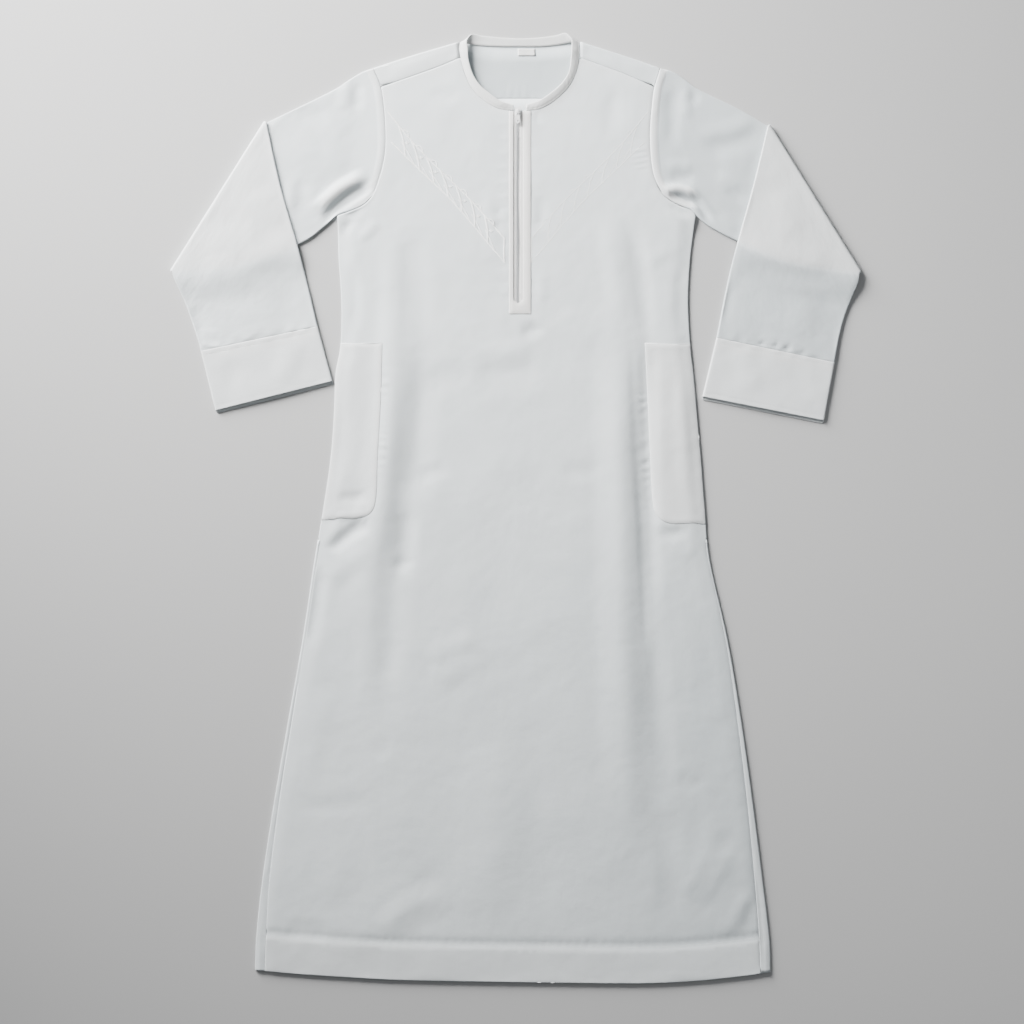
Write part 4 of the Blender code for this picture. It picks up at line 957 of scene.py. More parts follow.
def yoke():
    back_parts = np.array((0, 0.02, 0.05, 0.1, 0.17, 0.27, 0.45, 0.7, 1))
    front_parts = np.linspace(0, 1, 14)
    angles = np.radians((20, 45, 70, 90, 110, 135, 160))
    # the shoulders' height, the columns of each shoulder, and the columns between them
    height, shares, middle = 5.2, np.linspace(0, 1, 22), 44
    radius = height / 2
    band = through([row[:2] for row in NECK_BAND[9:16]], 3)
    index, points, thread, layers = {}, [], [], []

    def put(row, column, point, across):
        index[(row, column)] = len(points)
        # painted shade where the back shows inside the neck, in the raised band's shadow, and on the right
        # shoulder, where the light falls off; a little doubled on the left shoulder
        layers.append(-1.0 if row < len(back_parts) else 0.45 if point[0] < 0 else -0.2)
        points.append(point)
        thread.append(across)

    # where the fold, the seam and the back's edge meet the neck, and the fold's middle
    for side, sign, fold_neck, seam_neck, back_neck, shoulder in (
            ("left", 1, -85.2, -83.8, BACK_NECK[0], (-156, 676.5)),
            ("right", -1, 96.2, 95.6, BACK_NECK[1], (162, 676.5))):
        fold = along(((fold_neck, 697.5), shoulder, (body_edge(658, side) + sign * 0.3, 658.3)))
        seam = along([(seam_neck, YOKE_SEAM[side][0][1])] + list(YOKE_SEAM[side][1:]))
        for step, share in enumerate(shares):
            column = len(shares) - 1 - step if side == "left" else len(shares) + middle + step
            top_x, top_y = fold(share)
            low_x = back_neck + (body_edge(YOKE_BACK_Y, side) + sign * INSET - back_neck) * share
            pull = smooth_step((share - 0.8) / 0.2)

            def to_edge(x, y):
                return x + (body_edge(y, side) + sign * INSET - x) * pull

            for row, part in enumerate(back_parts):
                y = YOKE_BACK_Y + (top_y - radius - YOKE_BACK_Y) * part
                x = to_edge(low_x + (top_x - low_x) * part, y)
                put(row, column, (x, y, 0.0), (x, y))
            for row, angle in enumerate(angles):
                reach = radius * (1 - math.sin(angle))
                put(len(back_parts) + row, column, (top_x, top_y - reach, radius * (1 - math.cos(angle))),
                    (top_x, top_y + radius * angle))
            end_x, end_y = seam(share)
            for row, part in enumerate(front_parts):
                y = top_y - radius + (end_y - top_y + radius) * part
                x = to_edge(top_x + (end_x - top_x) * part, y)
                rise = relief_at(x, y, YOKE_CREASES, (34.0, 0.5, 8))
                gap = (y - end_y) * 0.92
                calm = smooth_step(part / 0.3) * smooth_step((1 - share) / 0.08)
                calm = calm * smooth_step(gap / 8.0)
                z = height + rise * calm - tuck(gap)
                put(len(back_parts) + len(angles) + row, column, (x, y, z), (x, 2 * top_y + 8 - y))
    last = len(back_parts) - 1
    start, end = (points[index[(last, column)]][0] for column in (len(shares) - 1, len(shares) + middle))
    for column in range(len(shares), len(shares) + middle):
        share = (column - len(shares) + 1) / (middle + 1)
        top_x = start + (end - start) * share
        top_y = float(np.interp(top_x, band[:, 0], band[:, 1])) - 0.6
        low_x = BACK_NECK[0] + (BACK_NECK[1] - BACK_NECK[0]) * share
        for row, part in enumerate(back_parts):
            x, y = low_x + (top_x - low_x) * part, YOKE_BACK_Y + (top_y - YOKE_BACK_Y) * part
            above = y - YOKE_BACK_Y
            pleats = 0.30 * (1 + math.sin(x / 1.9)) * bell(above, 14.0) * bell(x - 2, 24.0)
            put(row, column, (x, y, pleats * smooth_step(above / 5.0)), (x, y))
    rows = len(back_parts) + len(angles) + len(front_parts)
    faces = [face[:1] + face[:0:-1] for face in strip_faces(index, rows, 2 * len(shares) + middle)]
    return add_piece("yoke", points, faces, thread, layers=layers)


pieces["yoke"] = yoke()

# %% [markdown]
# ## Sleeves
# Each sleeve is one tube. It lies flat from the armhole, folds over at the elbow, and the forearm comes
# back across it and down to the cuff. So the creases are placed on the layer that shows in each half:
# the upper arm's top, and the forearm's top, which is the sleeve's back. Rings of points run round it.

# %% Rings of a flattened tube
EDGE_TURNS = np.radians(np.arange(22.5, 180, 22.5))


def ring_places(count):
    """Places round the tube: share across, inset share at the edges, layer from 1 above to -1 below."""
    flat, shares, round_edge = np.ones(count), np.linspace(0, 1, count), len(EDGE_TURNS)
    share = np.concatenate((shares, np.ones(round_edge), shares[::-1], np.zeros(round_edge)))
    layer = np.concatenate((flat, np.cos(EDGE_TURNS), -flat, -np.cos(EDGE_TURNS)))
    inset = np.tile(np.concatenate((0 * flat, 1 - np.sin(EDGE_TURNS))), 2)
    inset[[0, count - 1, count + round_edge, 2 * count + round_edge - 1]] = 1.0
    return share, inset, layer


def mirror_ring(count):
    """For each place of the ring, the place on the other layer at the same share."""
    half = count + len(EDGE_TURNS)
    return (count - 1 - np.arange(2 * half) + half) % (2 * half)


def ring_points(surface, v, places, tall, base, rise, slip=0.0):
    """The ring at v along a surface: tall here, on its base, raised on top, slipped forward below."""
    share, inset, layer = places
    width = float(np.linalg.norm(surface(1.0, v) - surface(0.0, v)))
    tall_here = tall(share, v)
    u = share + inset * tall_here / 2 / width * (1 - 2 * share)
    spot = surface(u, np.full_like(u, v))
    if slip:
        ahead = spot - surface(u, np.full_like(u, v - 0.05))
        ahead /= np.linalg.norm(ahead, axis=1)[:, None]
        spot = spot + ahead * (slip * np.clip(-layer, 0, 1))[:, None]
    middle = surface(share, np.full_like(u, v))
    z = base(middle[:, 0], middle[:, 1]) + tall_here * (1 + layer) / 2
    edge = np.minimum(share, 1 - share) * width
    z = z + rise(spot[:, 0], spot[:, 1], v) * np.where(layer > 0.99, smooth_step(edge / 9.0), 0.0)
    return np.column_stack((spot, z))


def tube_faces(rings, columns):
    """Quads round a tube of rings that each close on themselves."""
    row, column = np.meshgrid(np.arange(rings - 1), np.arange(columns), indexing="ij")
    beside = (column + 1) % columns
    corners = (row * columns + column, row * columns + beside,
               (row + 1) * columns + beside, (row + 1) * columns + column)
    return np.stack(corners, axis=-1).reshape(-1, 4)


def add_tube(solid, rings, flip, places, width, lengths, **looks):
    """A tube of cloth from its rings, each at its own length along the cloth."""
    share, _, layer = places
    faces = tube_faces(len(rings), len(share))
    across = np.where(layer >= 0, share, 2.2 - share) * width
    thread = np.array([(a, b) for b in lengths for a in across])
    return add_piece(solid, np.vstack(rings), faces[:, ::-1] if flip else faces, thread, **looks)


def on_floor(x, y):
    return 0 * x


# %% Creases of the sleeves
SLEEVE_CREASES = {
    "left": (
        ((-252, 640), (-256, 615), (-256, 590), 10, 1.2),
        ((-238, 640), (-236, 618), (-238, 592), 9, -1.5),
        ((-338, 492), (-336, 468), (-332, 444), 8, 1.0), ((-322, 494), (-318, 470), (-316, 444), 9, -1.2),
        ((-304, 442), (-262, 478), (-218, 502), 8, 5.2, 1.2),
        ((-300, 468), (-270, 496), (-230, 512), 14, -0.7),
        ((-290, 424), (-254, 460), (-214, 484), 7, -5.0, 1.2),
        ((-330, 590), (-300, 588), (-280, 592), 14, -0.8),
        ((-290, 545), (-320, 530), (-345, 500), 26, 0.8),
        ((-262, 600), (-272, 550), (-270, 505), 16, 0.5),
        ((-344, 480), (-340, 450), (-334, 420), 9, 0.8),
    ),
    "right": (
        ((236, 640), (234, 590), (232, 535), 11, -1.5), ((252, 630), (256, 605), (254, 580), 9, 0.9),
        ((266, 642), (268, 622), (262, 600), 9, -1.2), ((262, 560), (320, 566), (366, 584), 13, 1.0),
        ((268, 538), (322, 544), (376, 566), 14, -1.3), ((222, 512), (244, 514), (268, 508), 8, 1.3),
        ((228, 494), (246, 494), (268, 492), 8, -2.0), ((252, 490), (272, 466), (298, 430), 7, 1.3),
        ((258, 474), (272, 456), (294, 428), 6, -3.0), ((222, 458), (246, 463), (268, 450), 6, -5.0, 1.1),
        ((216, 474), (246, 478), (276, 464), 6, 4.4, 1.2), ((300, 498), (318, 490), (334, 474), 9, 0.9),
        ((312, 478), (326, 470), (342, 456), 9, -1.2), ((300, 520), (330, 520), (356, 510), 18, 0.7),
        ((306, 440), (318, 426), (332, 414), 9, 0.8),
    ),
}
FOREARM_CREASES = {
    "left": (
        ((-410, 372), (-372, 382), (-330, 404), 16, 1.0), ((-416, 340), (-370, 352), (-322, 372), 14, -1.2),
        ((-470, 356), (-440, 360), (-410, 372), 18, 0.5), ((-440, 440), (-420, 424), (-396, 414), 22, -0.8),
        ((-380, 480), (-366, 450), (-360, 420), 20, 0.9), ((-478, 306), (-472, 282), (-462, 256), 12, -1.2),
        ((-464, 262), (-452, 252), (-440, 250), 7, -0.9), ((-470, 250), (-460, 243), (-448, 240), 5, 0.9),
        ((-346, 330), (-342, 300), (-332, 268), 18, -0.6), ((-400, 310), (-396, 280), (-384, 250), 24, 0.7),
    ),
    "right": (
        ((340, 398), (392, 378), (476, 366), 15, 1.1), ((338, 378), (392, 352), (488, 338), 14, -1.5),
        ((316, 340), (312, 310), (306, 280), 12, -0.7), ((400, 480), (410, 440), (430, 410), 24, 0.7),
        ((440, 320), (430, 290), (424, 250), 20, 0.7), ((360, 300), (372, 270), (380, 250), 18, -0.5),
        ((350, 252), (350, 247), (352, 240), 4, -1.0), ((367, 250), (368, 244), (370, 238), 5, -1.6),
        ((387, 248), (388, 242), (390, 235), 5, -1.6), ((404, 245), (406, 238), (408, 232), 5, -1.8),
        ((428, 236), (430, 230), (432, 226), 4, -0.8),
    ),
}


# %% Sleeves
# the height of the turned seam allowance round each armhole, and how much painted shade darkens each
# sleeve's single cloth, most on the right, where the light falls off
ALLOWANCE, PAINTED_SLEEVE_SHADE = {"left": 0.35, "right": 0.9}, {"left": 0.15, "right": 0.8}


def sleeve(side):
    """The upper arm from the armhole, the fold at the elbow, and the forearm back over it."""
    edges = SLEEVE[side]
    sign, count = (-1 if side == "left" else 1), (60)
    places = ring_places(count)
    under = [(x + 0.4 * sign, y + 0.5) for x, y in ARM_CURVE[side][19::2]]
    under = [ARMHOLE[side][6], *under, *edges["under"][1:]]
    corner, tip = np.array(edges["top"][-1], float), np.array(edges["under"][-1], float)
    direction = unit(tip - corner)
    outward = np.array((direction[1], -direction[0])) * -sign
    # the air between the two halves, and the height of each flat tube
    gap, tall = 0.4, 4.0
    fold_start, fold_end = corner - outward * (gap + tall), tip - outward * (gap + tall)
    fold = along((fold_start, fold_end))
    upper = patch(along(ARMHOLE[side][:7]), fold, along([*edges["top"][:-1], tuple(fold_start)]),
                  along([*under[:-1], tuple(fold_end)]))
    forearm = patch(fold, along((edges["inner"][-1], edges["outer"][-1])),
                    along([tuple(fold_start), *edges["inner"][1:]]),
                    along([tuple(fold_end), *edges["outer"][1:]]))
    under_line = through(edges["under"])
    under_line = under_line[np.argsort(under_line[:, 0])]
    armhole = evenly(ARM_CURVE[side], 1.0)

    def seam_gap(x, y):
        return nearest(x, y, armhole)[0]

    def upper_tall(share, v):
        return tall + 1.2 * max(0.0, 1 - v / 0.2) ** 2 + 0 * share

    def upper_rise(x, y, v):
        near = seam_gap(x, y)
        ridge = ALLOWANCE[side] * smooth_step((11.5 - near) / 2.5) * smooth_step(near / 3.0)
        ridge = ridge - (tuck(near) if side == "left" else seam_dip(near))
        fade = smooth_step((1 - v) / 0.12)
        rise = relief(x, y, SLEEVE_CREASES[side], (60.0, 0.9, 11), (24.0, 0.25, 12))
        rise = rise * fade * smooth_step(near / 9.0)
        deep = np.minimum(rise + 2.2, 0.0)  # the deepest troughs flatten out before they reach the floor
        return rise - deep + 1.1 * np.tanh(deep / 1.1) + ridge

    def fore_tall(share, v):
        swell = np.sin(math.pi * share) ** 2 * math.sin(math.pi * min(1.0, v)) ** 2
        return tall + smooth_step((v - 0.6) / 0.4) + 2.0 * swell

    def fore_base(x, y):
        edge_y = np.interp(x, *under_line.T)
        return (tall + 2 * gap) * (1 - smooth_step((edge_y - y - 9.0) / 46.0))

    def fore_rise(x, y, v):
        rise = relief(x, y, FOREARM_CREASES[side], (64.0, 1.0, 14), (26.0, 0.25, 15))
        end = (1 - v) * FOREARM
        wave = 0.35 * bell(end - 5, 7.0) * np.sin(x / 4.6 + np.sin(x / 17.0))
        return rise * smooth_step(v / 0.08) * smooth_step(end / 10.0) + wave - dip(end, 0.2, 1.3)

    rings, along_cloth = [], []
    # close together at both ends, for the seam allowance and for the gathers at the cuff
    near_seam, last = (0.05, 1.5, 3.0, 5.5, 8.0, 9.5, 11.0, 12.5), (12.0, 8.0, 5.4, 3.6, 2.0, 0.8, 0.0)
    length = float(np.linalg.norm(np.array(edges["top"][-1]) - np.array(edges["top"][0])))
    width = float(np.linalg.norm(tip - corner))
    rows = 54
    for v in (*(k / length for k in near_seam), *np.linspace(17.0 / length, 1.0, rows)):
        rings.append(ring_points(upper, v, places, upper_tall, on_floor, upper_rise))
        along_cloth.append(v * length)
    share, inset, layer = places
    for angle in np.radians(np.arange(18, 180, 18)):
        radius = gap + (1 - layer) / 2 * tall
        u = share + inset * tall / 2 / width * (1 - 2 * share)
        spot = fold(u) + outward * (radius * math.sin(angle))[:, None]
        rings.append(np.column_stack((spot, tall + gap - radius * math.cos(angle))))
        along_cloth.append(length + gap + tall * angle / 2)
    mirror = mirror_ring(count)
    for v in (*np.linspace(0.0, 1 - 17.0 / FOREARM, 38), *(1 - k / FOREARM for k in last)):
        ring = ring_points(forearm, v, places, fore_tall, fore_base, fore_rise)
        rings.append(ring[mirror])
        along_cloth.append(length + 15 + v * FOREARM)
    x, y, z = np.vstack(rings).T
    over = 1 - smooth_step((np.interp(x, *under_line.T) - y + 4.0) / 14.0)
    on_top = smooth_step((z - 6.0) / 2.0)
    near = np.concatenate([seam_gap(x[k : k + 4000], y[k : k + 4000]) for k in range(0, len(x), 4000)])
    allowance = smooth_step((12.0 - near) / 1.5) * (y > 450) * (0.5 + ALLOWANCE[side] * 0.6)
    # the sleeve's single cloth takes painted shade, below 0
    layers = np.clip(over * on_top + allowance, 0, 1) * (1 + PAINTED_SLEEVE_SHADE[side]) - PAINTED_SLEEVE_SHADE[side]
    return add_tube(f"sleeve_{side}", rings, side == "left", places, SLEEVE_WIDTH, along_cloth,
                    layers=layers)


for side in ("left", "right"):
    pieces[f"sleeve_{side}"] = sleeve(side)

# %% [markdown]
# ## Cuffs
# The cuffs are deep bands of double cloth, closed all round. Their mouths show both layers, because the
# lower one has slipped out a few millimetres. A line of stitches follows each end.

# %% Cuffs
CUFF_CREASES = {
    "left": (((-330, 262), (-340, 214), (-352, 178), 16, 0.8),
             ((-420, 232), (-424, 196), (-432, 168), 14, -0.7)),
    "right": (((340, 250), (348, 206), (356, 168), 16, 0.8),
              ((424, 224), (424, 190), (430, 156), 14, -0.7)),
}


def cuff(side):
    edges = SLEEVE[side]
    start, end = (np.array(edges[k][-1], float) for k in ("inner", "outer"))
    mouth = [np.array(p, float) for p in edges["mouth"]]
    away = unit(mouth[0] - start)
    start, end = start + away * 0.12, end + away * 0.12
    surface = patch(*(along(edge) for edge in ((start, end), mouth, (start, mouth[0]), (end, mouth[1]))))
    depth = float(np.linalg.norm(mouth[0] - start))
    places = ring_places(34)

    def tall(share, v):
        return 5.0 + 1.0 * np.sin(math.pi * share) ** 2 * v

    def rise(x, y, v):
        first, last = v * depth, (1 - v) * depth
        lines = sum(0.12 * bell(k - CUFF_STITCH, 1.2) for k in (first, last))
        gathers = 0.3 * bell(first - 3, 5.0) * np.sin(x / 4.3 + np.sin(x / 13.0))
        swell = relief(x, y, CUFF_CREASES[side], (40.0, 0.7, 21))
        calm = smooth_step(first / 9.0) * smooth_step(last / 6.0)
        return swell * calm - lines + gathers - dip(first, 0.15, 1.3)

    steps = (0, 1.2, 2.6, 4.2, 5.4, 6.5, 7.6, 9.2, 12)
    shares = [k / depth for k in steps] + list(np.linspace(17, depth - 16, 13) / depth)
    shares += [1 - k / depth for k in steps[::-1]]
    rings = [ring_points(surface, v, places, tall, on_floor, rise, 4.5 * smooth_step((v - 0.6) / 0.4))
             for v in shares]
    lengths = [v * depth for v in shares]
    layers = np.repeat([0.6 + 0.7 * (length < 12.5) for length in lengths], len(places[0]))
    return add_tube(f"cuff_{side}", rings, side == "right", places, CUFF_WIDTH, lengths,
                    thickness=CUFF_CLOTH, layers=layers)


for side in ("left", "right"):
    pieces[f"cuff_{side}"] = cuff(side)

# %% [markdown]
# ## Neck band
# The band is a strip folded double and sewn to the neckline. It lies flat in front and behind and
# stands up where it turns over the shoulders. It is a closed soft tube: a face outside, a rounded free
# edge, a face inside. On the right it has rolled inwards, so small slanting wrinkles cross it.

# %% Neck band
def band_profile(width, wall):
    """Places round the band's section: share of its width and depth below its face."""
    radius = wall / 2
    face = [(t * (width - radius), 0.0, t) for t in (0, 0.05, 0.11, 0.18, 0.3, 0.45, 0.6, 0.75, 0.88, 1)]
    turn = [(width - radius + radius * math.sin(a), radius * (1 - math.cos(a)), 1.0)
            for a in np.radians((30, 60, 90, 120, 150))]
    inside = [(t * (width - radius), wall, t) for t in (1, 0.8, 0.6, 0.4, 0.2, 0.0)]
    sewn = [(-0.35, wall * 0.75, 0.0), (-0.5, wall * 0.5, 0.0), (-0.35, wall * 0.2, 0.0)]
    return face + turn + inside + sewn


BAND_STANDS, BAND_WALL = 2.8, 1.8


def neck_band():
    """A section at each step round the neckline, closed at both ends."""
    rows = through(NECK_BAND, 9)
    seam, free = rows[:, :3], rows[:, 3:].copy()
    ends = smooth_step(np.minimum(np.arange(len(rows)), len(rows) - 1 - np.arange(len(rows))) / 14.0)
    free[:, 2] += BAND_STANDS * smooth_step((700.0 - seam[:, 1]) / 20.0) * (0.35 + 0.65 * ends)
    middle = (seam + free) / 2
    ahead = np.gradient(middle, axis=0)
    ahead /= np.linalg.norm(ahead, axis=1)[:, None]
    run = reach_along(middle)
    points, thread = [], []
    for k in range(len(rows)):
        width, across = float(np.linalg.norm(free[k] - seam[k])), unit(free[k] - seam[k])
        out = unit(np.cross(across, ahead[k]))
        rolled = smooth_step((k / len(rows) - 0.70) / 0.08)
        for reach, depth, share in band_profile(width, BAND_WALL):
            outer = depth < BAND_WALL / 2
            puff = 0.0
            if outer:
                puff = 0.45 * math.sin(math.pi * min(1.0, share + 0.02)) ** 0.7
                puff -= 0.35 * bell(reach - 2.0, 0.7)
                slant = run[k] / 8.5 + reach / 9.0 + 0.5 * math.sin(run[k] / 23.0)
                strength = 0.10 + 0.28 * rolled
                puff += strength * math.sin(TURN * slant) * math.sin(math.pi * share)
            points.append(seam[k] + across * reach + out * (puff - depth))
            thread.append((run[k], reach if outer else -reach))
    columns = len(points) // len(rows)
    faces = [tuple(int(c) for c in face) for face in tube_faces(len(rows), columns)]
    last = len(points) - columns
    faces += [tuple(range(columns))[::-1], tuple(range(last, last + columns))]
    print("band's lowest point", round(min(p[2] for p in points), 2), "mm before it rests on the floor")
    points = [(p[0], p[1], max(p[2], 0.0)) for p in points]
    return add_piece("neck_band", points, faces, thread, band_cloth, "white_band", thickness=0)


pieces["neck_band"] = neck_band()

# %% Neck label: a small bare woven label inside the back of the neck
def label():
    index, points = {}, []
    for row, y in enumerate(np.linspace(677, 687.5, 7)):
        for column, x in enumerate(np.linspace(3, 29, 14)):
            index[(row, column)] = len(points)
            points.append((x, y, 0.75 + 0.35 * smooth_step((684.5 - y) / 7.0) + 0.12 * math.sin(x / 4.0)))
    thread = [point[:2] for point in points]
    return add_piece("neck_label", points, strip_faces(index, 7, 14), thread, label_cloth, "neck_label",
                     THIN_CLOTH)


pieces["label"] = label()

# %% [markdown]
# ## Rows of stitches
# A stitch is a short thread that dives into the cloth at both ends. Drawn one by one they would take
# days, so a Geometry Nodes tree does it: it walks a line at the stitch pitch and places one thread at
# each step, turned along the line, with small differences of size and angle. The same tree makes the
# satin threads of the embroidery, laid across their line, and the coils of the zip.

# %% Geometry Nodes tree: things along a line
def sewn_row_tree():
    """A turned and flattened ball every pitch along each line: a stitch, a satin thread or a zip coil."""
    tree, given, result = new_group(
        "sewn_row", "GeometryNodeTree",
        [("Geometry", "Geometry", None), ("Pitch", "Float", 0.0030), ("Length", "Float", 0.0024),
         ("Width", "Float", 0.0004), ("Height", "Float", 0.0003), ("Turn", "Float", 0.0),
         ("Turn Spread", "Float", 0.05), ("Size Spread", "Float", 0.06), ("Sides", "Int", 6),
         ("Rings", "Int", 4), ("Seed", "Int", 7), ("Material", "Material", None)],
        [("Geometry", "Geometry")])

    def add(kind, inputs=None, **settings):
        return add_node(tree, kind, inputs, **settings).outputs[0]

    def drawn(low, high):
        """A random number between the two for each ball."""
        node = add_node(tree, "FunctionNodeRandomValue", data_type="FLOAT")
        sockets = {socket.identifier: socket for socket in node.inputs}
        for label, value in (("Min_001", low), ("Max_001", high), ("Seed", given["Seed"])):
            if isinstance(value, float):
                sockets[label].default_value = value
            else:
                tree.links.new(value, sockets[label])
        return next(output for output in node.outputs if output.identifier == "Value_001")

    curve = add("GeometryNodeMeshToCurve", {"Mesh": given["Geometry"]})
    steps = add("GeometryNodeResampleCurve", {"Curve": curve, "Length": given["Pitch"]}, mode="LENGTH")
    ahead = add("FunctionNodeAlignRotationToVector", {"Vector": add("GeometryNodeInputTangent")}, axis="X")
    other_way = math_node(tree, "MULTIPLY", given["Turn Spread"], -1.0)
    angle = math_node(tree, "ADD", given["Turn"], drawn(other_way, given["Turn Spread"]))
    turn = add("FunctionNodeAxisAngleToRotation", {"Axis": (0, 0, 1), "Angle": angle})
    turned = add("FunctionNodeRotateRotation", {"Rotation": ahead, "Rotate By": turn},
                 rotation_space="LOCAL")
    ball = add("GeometryNodeMeshUVSphere", {
        "Radius": 0.5, "Segments": given["Sides"], "Rings": given["Rings"]})
    lying = add("GeometryNodeTransform", {"Geometry": ball, "Rotation": (0, math.pi / 2, 0)})
    size = add("ShaderNodeCombineXYZ", {"X": given["Length"], "Y": given["Width"], "Z": given["Height"]})
    sized = add("GeometryNodeTransform", {"Geometry": lying, "Scale": size})
    share = drawn(math_node(tree, "SUBTRACT", 1.0, given["Size Spread"]), 1.0)
    balls = add("GeometryNodeInstanceOnPoints", {
        "Points": steps, "Instance": sized, "Rotation": turned, "Scale": share})
    solid = add("GeometryNodeRealizeInstances", {0: balls})
    smooth = add("GeometryNodeSetShadeSmooth", {"Geometry": solid})
    dyed = add("GeometryNodeSetMaterial", {"Geometry": smooth, "Material": given["Material"]})
    tree.links.new(dyed, result.inputs[0])
    return tree


SEWN_ROW = sewn_row_tree()


def sew(name, paths, material, slot, **wanted):
    """Things along each path of millimetre points, as one plain mesh."""
    mesh = bpy.data.meshes.new(name + " lines")
    points, edges = [], []
    for path in paths:
        start = len(points)
        points += [tuple(np.asarray(p) * MM) for p in path]
        edges += [(k, k + 1) for k in range(start, len(points) - 1)]
    mesh.from_pydata(points, edges, [])
    row = in_scene(name + " lines", mesh)
    modifier = row.modifiers.new("sewn row", "NODES")
    modifier.node_group = SEWN_ROW
    wanted["Material"] = material
    for item in SEWN_ROW.interface.items_tree:
        if item.in_out == "INPUT" and item.name in wanted:
            modifier[item.identifier] = wanted[item.name]
    graph = bpy.context.evaluated_depsgraph_get()
    made = bpy.data.meshes.new_from_object(row.evaluated_get(graph))
    bpy.data.objects.remove(row, do_unlink=True)
    made.name = name
    piece = in_scene(name, made)
    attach(piece, "garment")
    print(name, len(made.polygons), "faces from", len(paths), "paths")
    return piece


# %% Laying a line on the cloth
from mathutils.bvhtree import BVHTree

TREES = {}


def on_cloth(path, piece, lift=0.05, step=2.0):
    """A plan path laid on top of a piece, cut where the piece ends."""
    if piece.name not in TREES:
        mesh = piece.data
        TREES[piece.name] = BVHTree.FromPolygons([v.co for v in mesh.vertices],
                                                 [tuple(p.vertices) for p in mesh.polygons])
    runs, run = [], []
    for x, y in evenly(np.array(path, float)[:, :2], step):
        hit = TREES[piece.name].ray_cast(Vector((x * MM, y * MM, 0.1)), Vector((0, 0, -1)))[0]
        if run and (hit is None or abs(hit.z / MM + lift - run[-1][2]) > 1.5):
            if len(run) > 2:
                runs.append(run)
            run = []
        if hit is not None:
            run.append((x, y, hit.z / MM + lift))
    return runs + ([run] if len(run) > 2 else [])


# %% [markdown]
# ## Seams and stitch lines
# The photograph shows a stitch line along the hem, beside the yoke seams, twice round each pocket, down
# both sides of the placket and round its bar, along the neck band, and at both ends of each cuff.

# %% Stitches
def moved(curve, distance):
    return offset_path(evenly(np.array(curve, float), 3.0), distance)


def stitch_paths():
    paths = []
    hem = [(x, hem_y(x) + HEM_DEPTH) for x in np.arange(-388, 381, 4.0)]
    paths += on_cloth(hem, pieces["front"]) + on_cloth(hem, pieces["back"])
    for side, sign in SIDES:
        yoke_seam = through(YOKE_SEAM[side], 8)
        paths += on_cloth([(x, y + 2.4) for x, y in yoke_seam], pieces["yoke"])
        pocket = through(POCKET[side], 8)
        for inset in (1.8, 7.4):
            paths += on_cloth(moved(pocket, inset * sign * -1), pieces[f"pocket_{side}"])
        ends = sorted((POCKET[side][0][0], body_edge(245, side)))
        top = [(x, 245.0) for x in np.linspace(*ends, 40)]
        paths += on_cloth(top, pieces[f"pocket_{side}"])
        piece = pieces[f"cuff_{side}"]
        tops = [np.array(SLEEVE[side][k][-1], float) for k in ("inner", "outer")]
        mouths = [np.array(p, float) for p in SLEEVE[side]["mouth"]]
        for ends, shift in ((tops, CUFF_STITCH), (mouths, -CUFF_STITCH)):
            line = [end + unit(mouth - top) * shift for end, top, mouth in zip(ends, tops, mouths)]
            paths += on_cloth(line, piece)
    p, inset = PLACKET, 1.3
    for x in (p["left"] + inset, p["inner_left"] - inset, p["inner_right"] + inset, p["right"] - inset):
        paths += on_cloth(((x, p["top"] - 1), (x, p["end"] + inset)), pieces["placket"])
    for y in (p["end"] + inset, p["bar"] - 4.0):
        paths += on_cloth(((p["left"] + inset, y), (p["right"] - inset, y)), pieces["placket"])
    band = through(NECK_BAND, 6)
    across = band[:, 3:5] - band[:, :2]
    line = band[:, :2] + across / np.linalg.norm(across, axis=1)[:, None] * 2.0
    paths += on_cloth(line, pieces["neck_band"], step=1.5)
    return paths


sew("stitches", stitch_paths(), thread_material, "white_cloth",
    Pitch=0.0030, Length=0.0026, Width=0.00042, Height=0.00036)

# %% [markdown]
# ## Embroidery
# A tonal V runs from both armholes down to the placket, in white thread on white cloth. It is an
# ordinary border of this kind: two long lines with slanting bars between them, a small leaf in each
# space and a low bump outside the upper line. Satin stitch lays its threads across each line.

# %% Embroidery lines, in millimetres
UPPER_LINE = ((-191, 592), (-155, 548), (-119, 511), (-68, 461), (-40, 430), (-16, 402))
LOWER_LINE = ((-186, 547), (-143, 505), (-98, 462), (-66, 426), (-38, 392), (-16, 367))
V_MIDDLE, LEAF_LENGTH, BUMP_HEIGHT = 3.3, 3.6, 4.2
BAR_SHARES = (0.10, 0.22, 0.34, 0.46, 0.58, 0.70, 0.82, 0.93)


def mirrored(path, side):
    path = np.array(path, float)
    return path if side == "left" else np.column_stack((V_MIDDLE * 2 - path[:, 0], path[:, 1]))


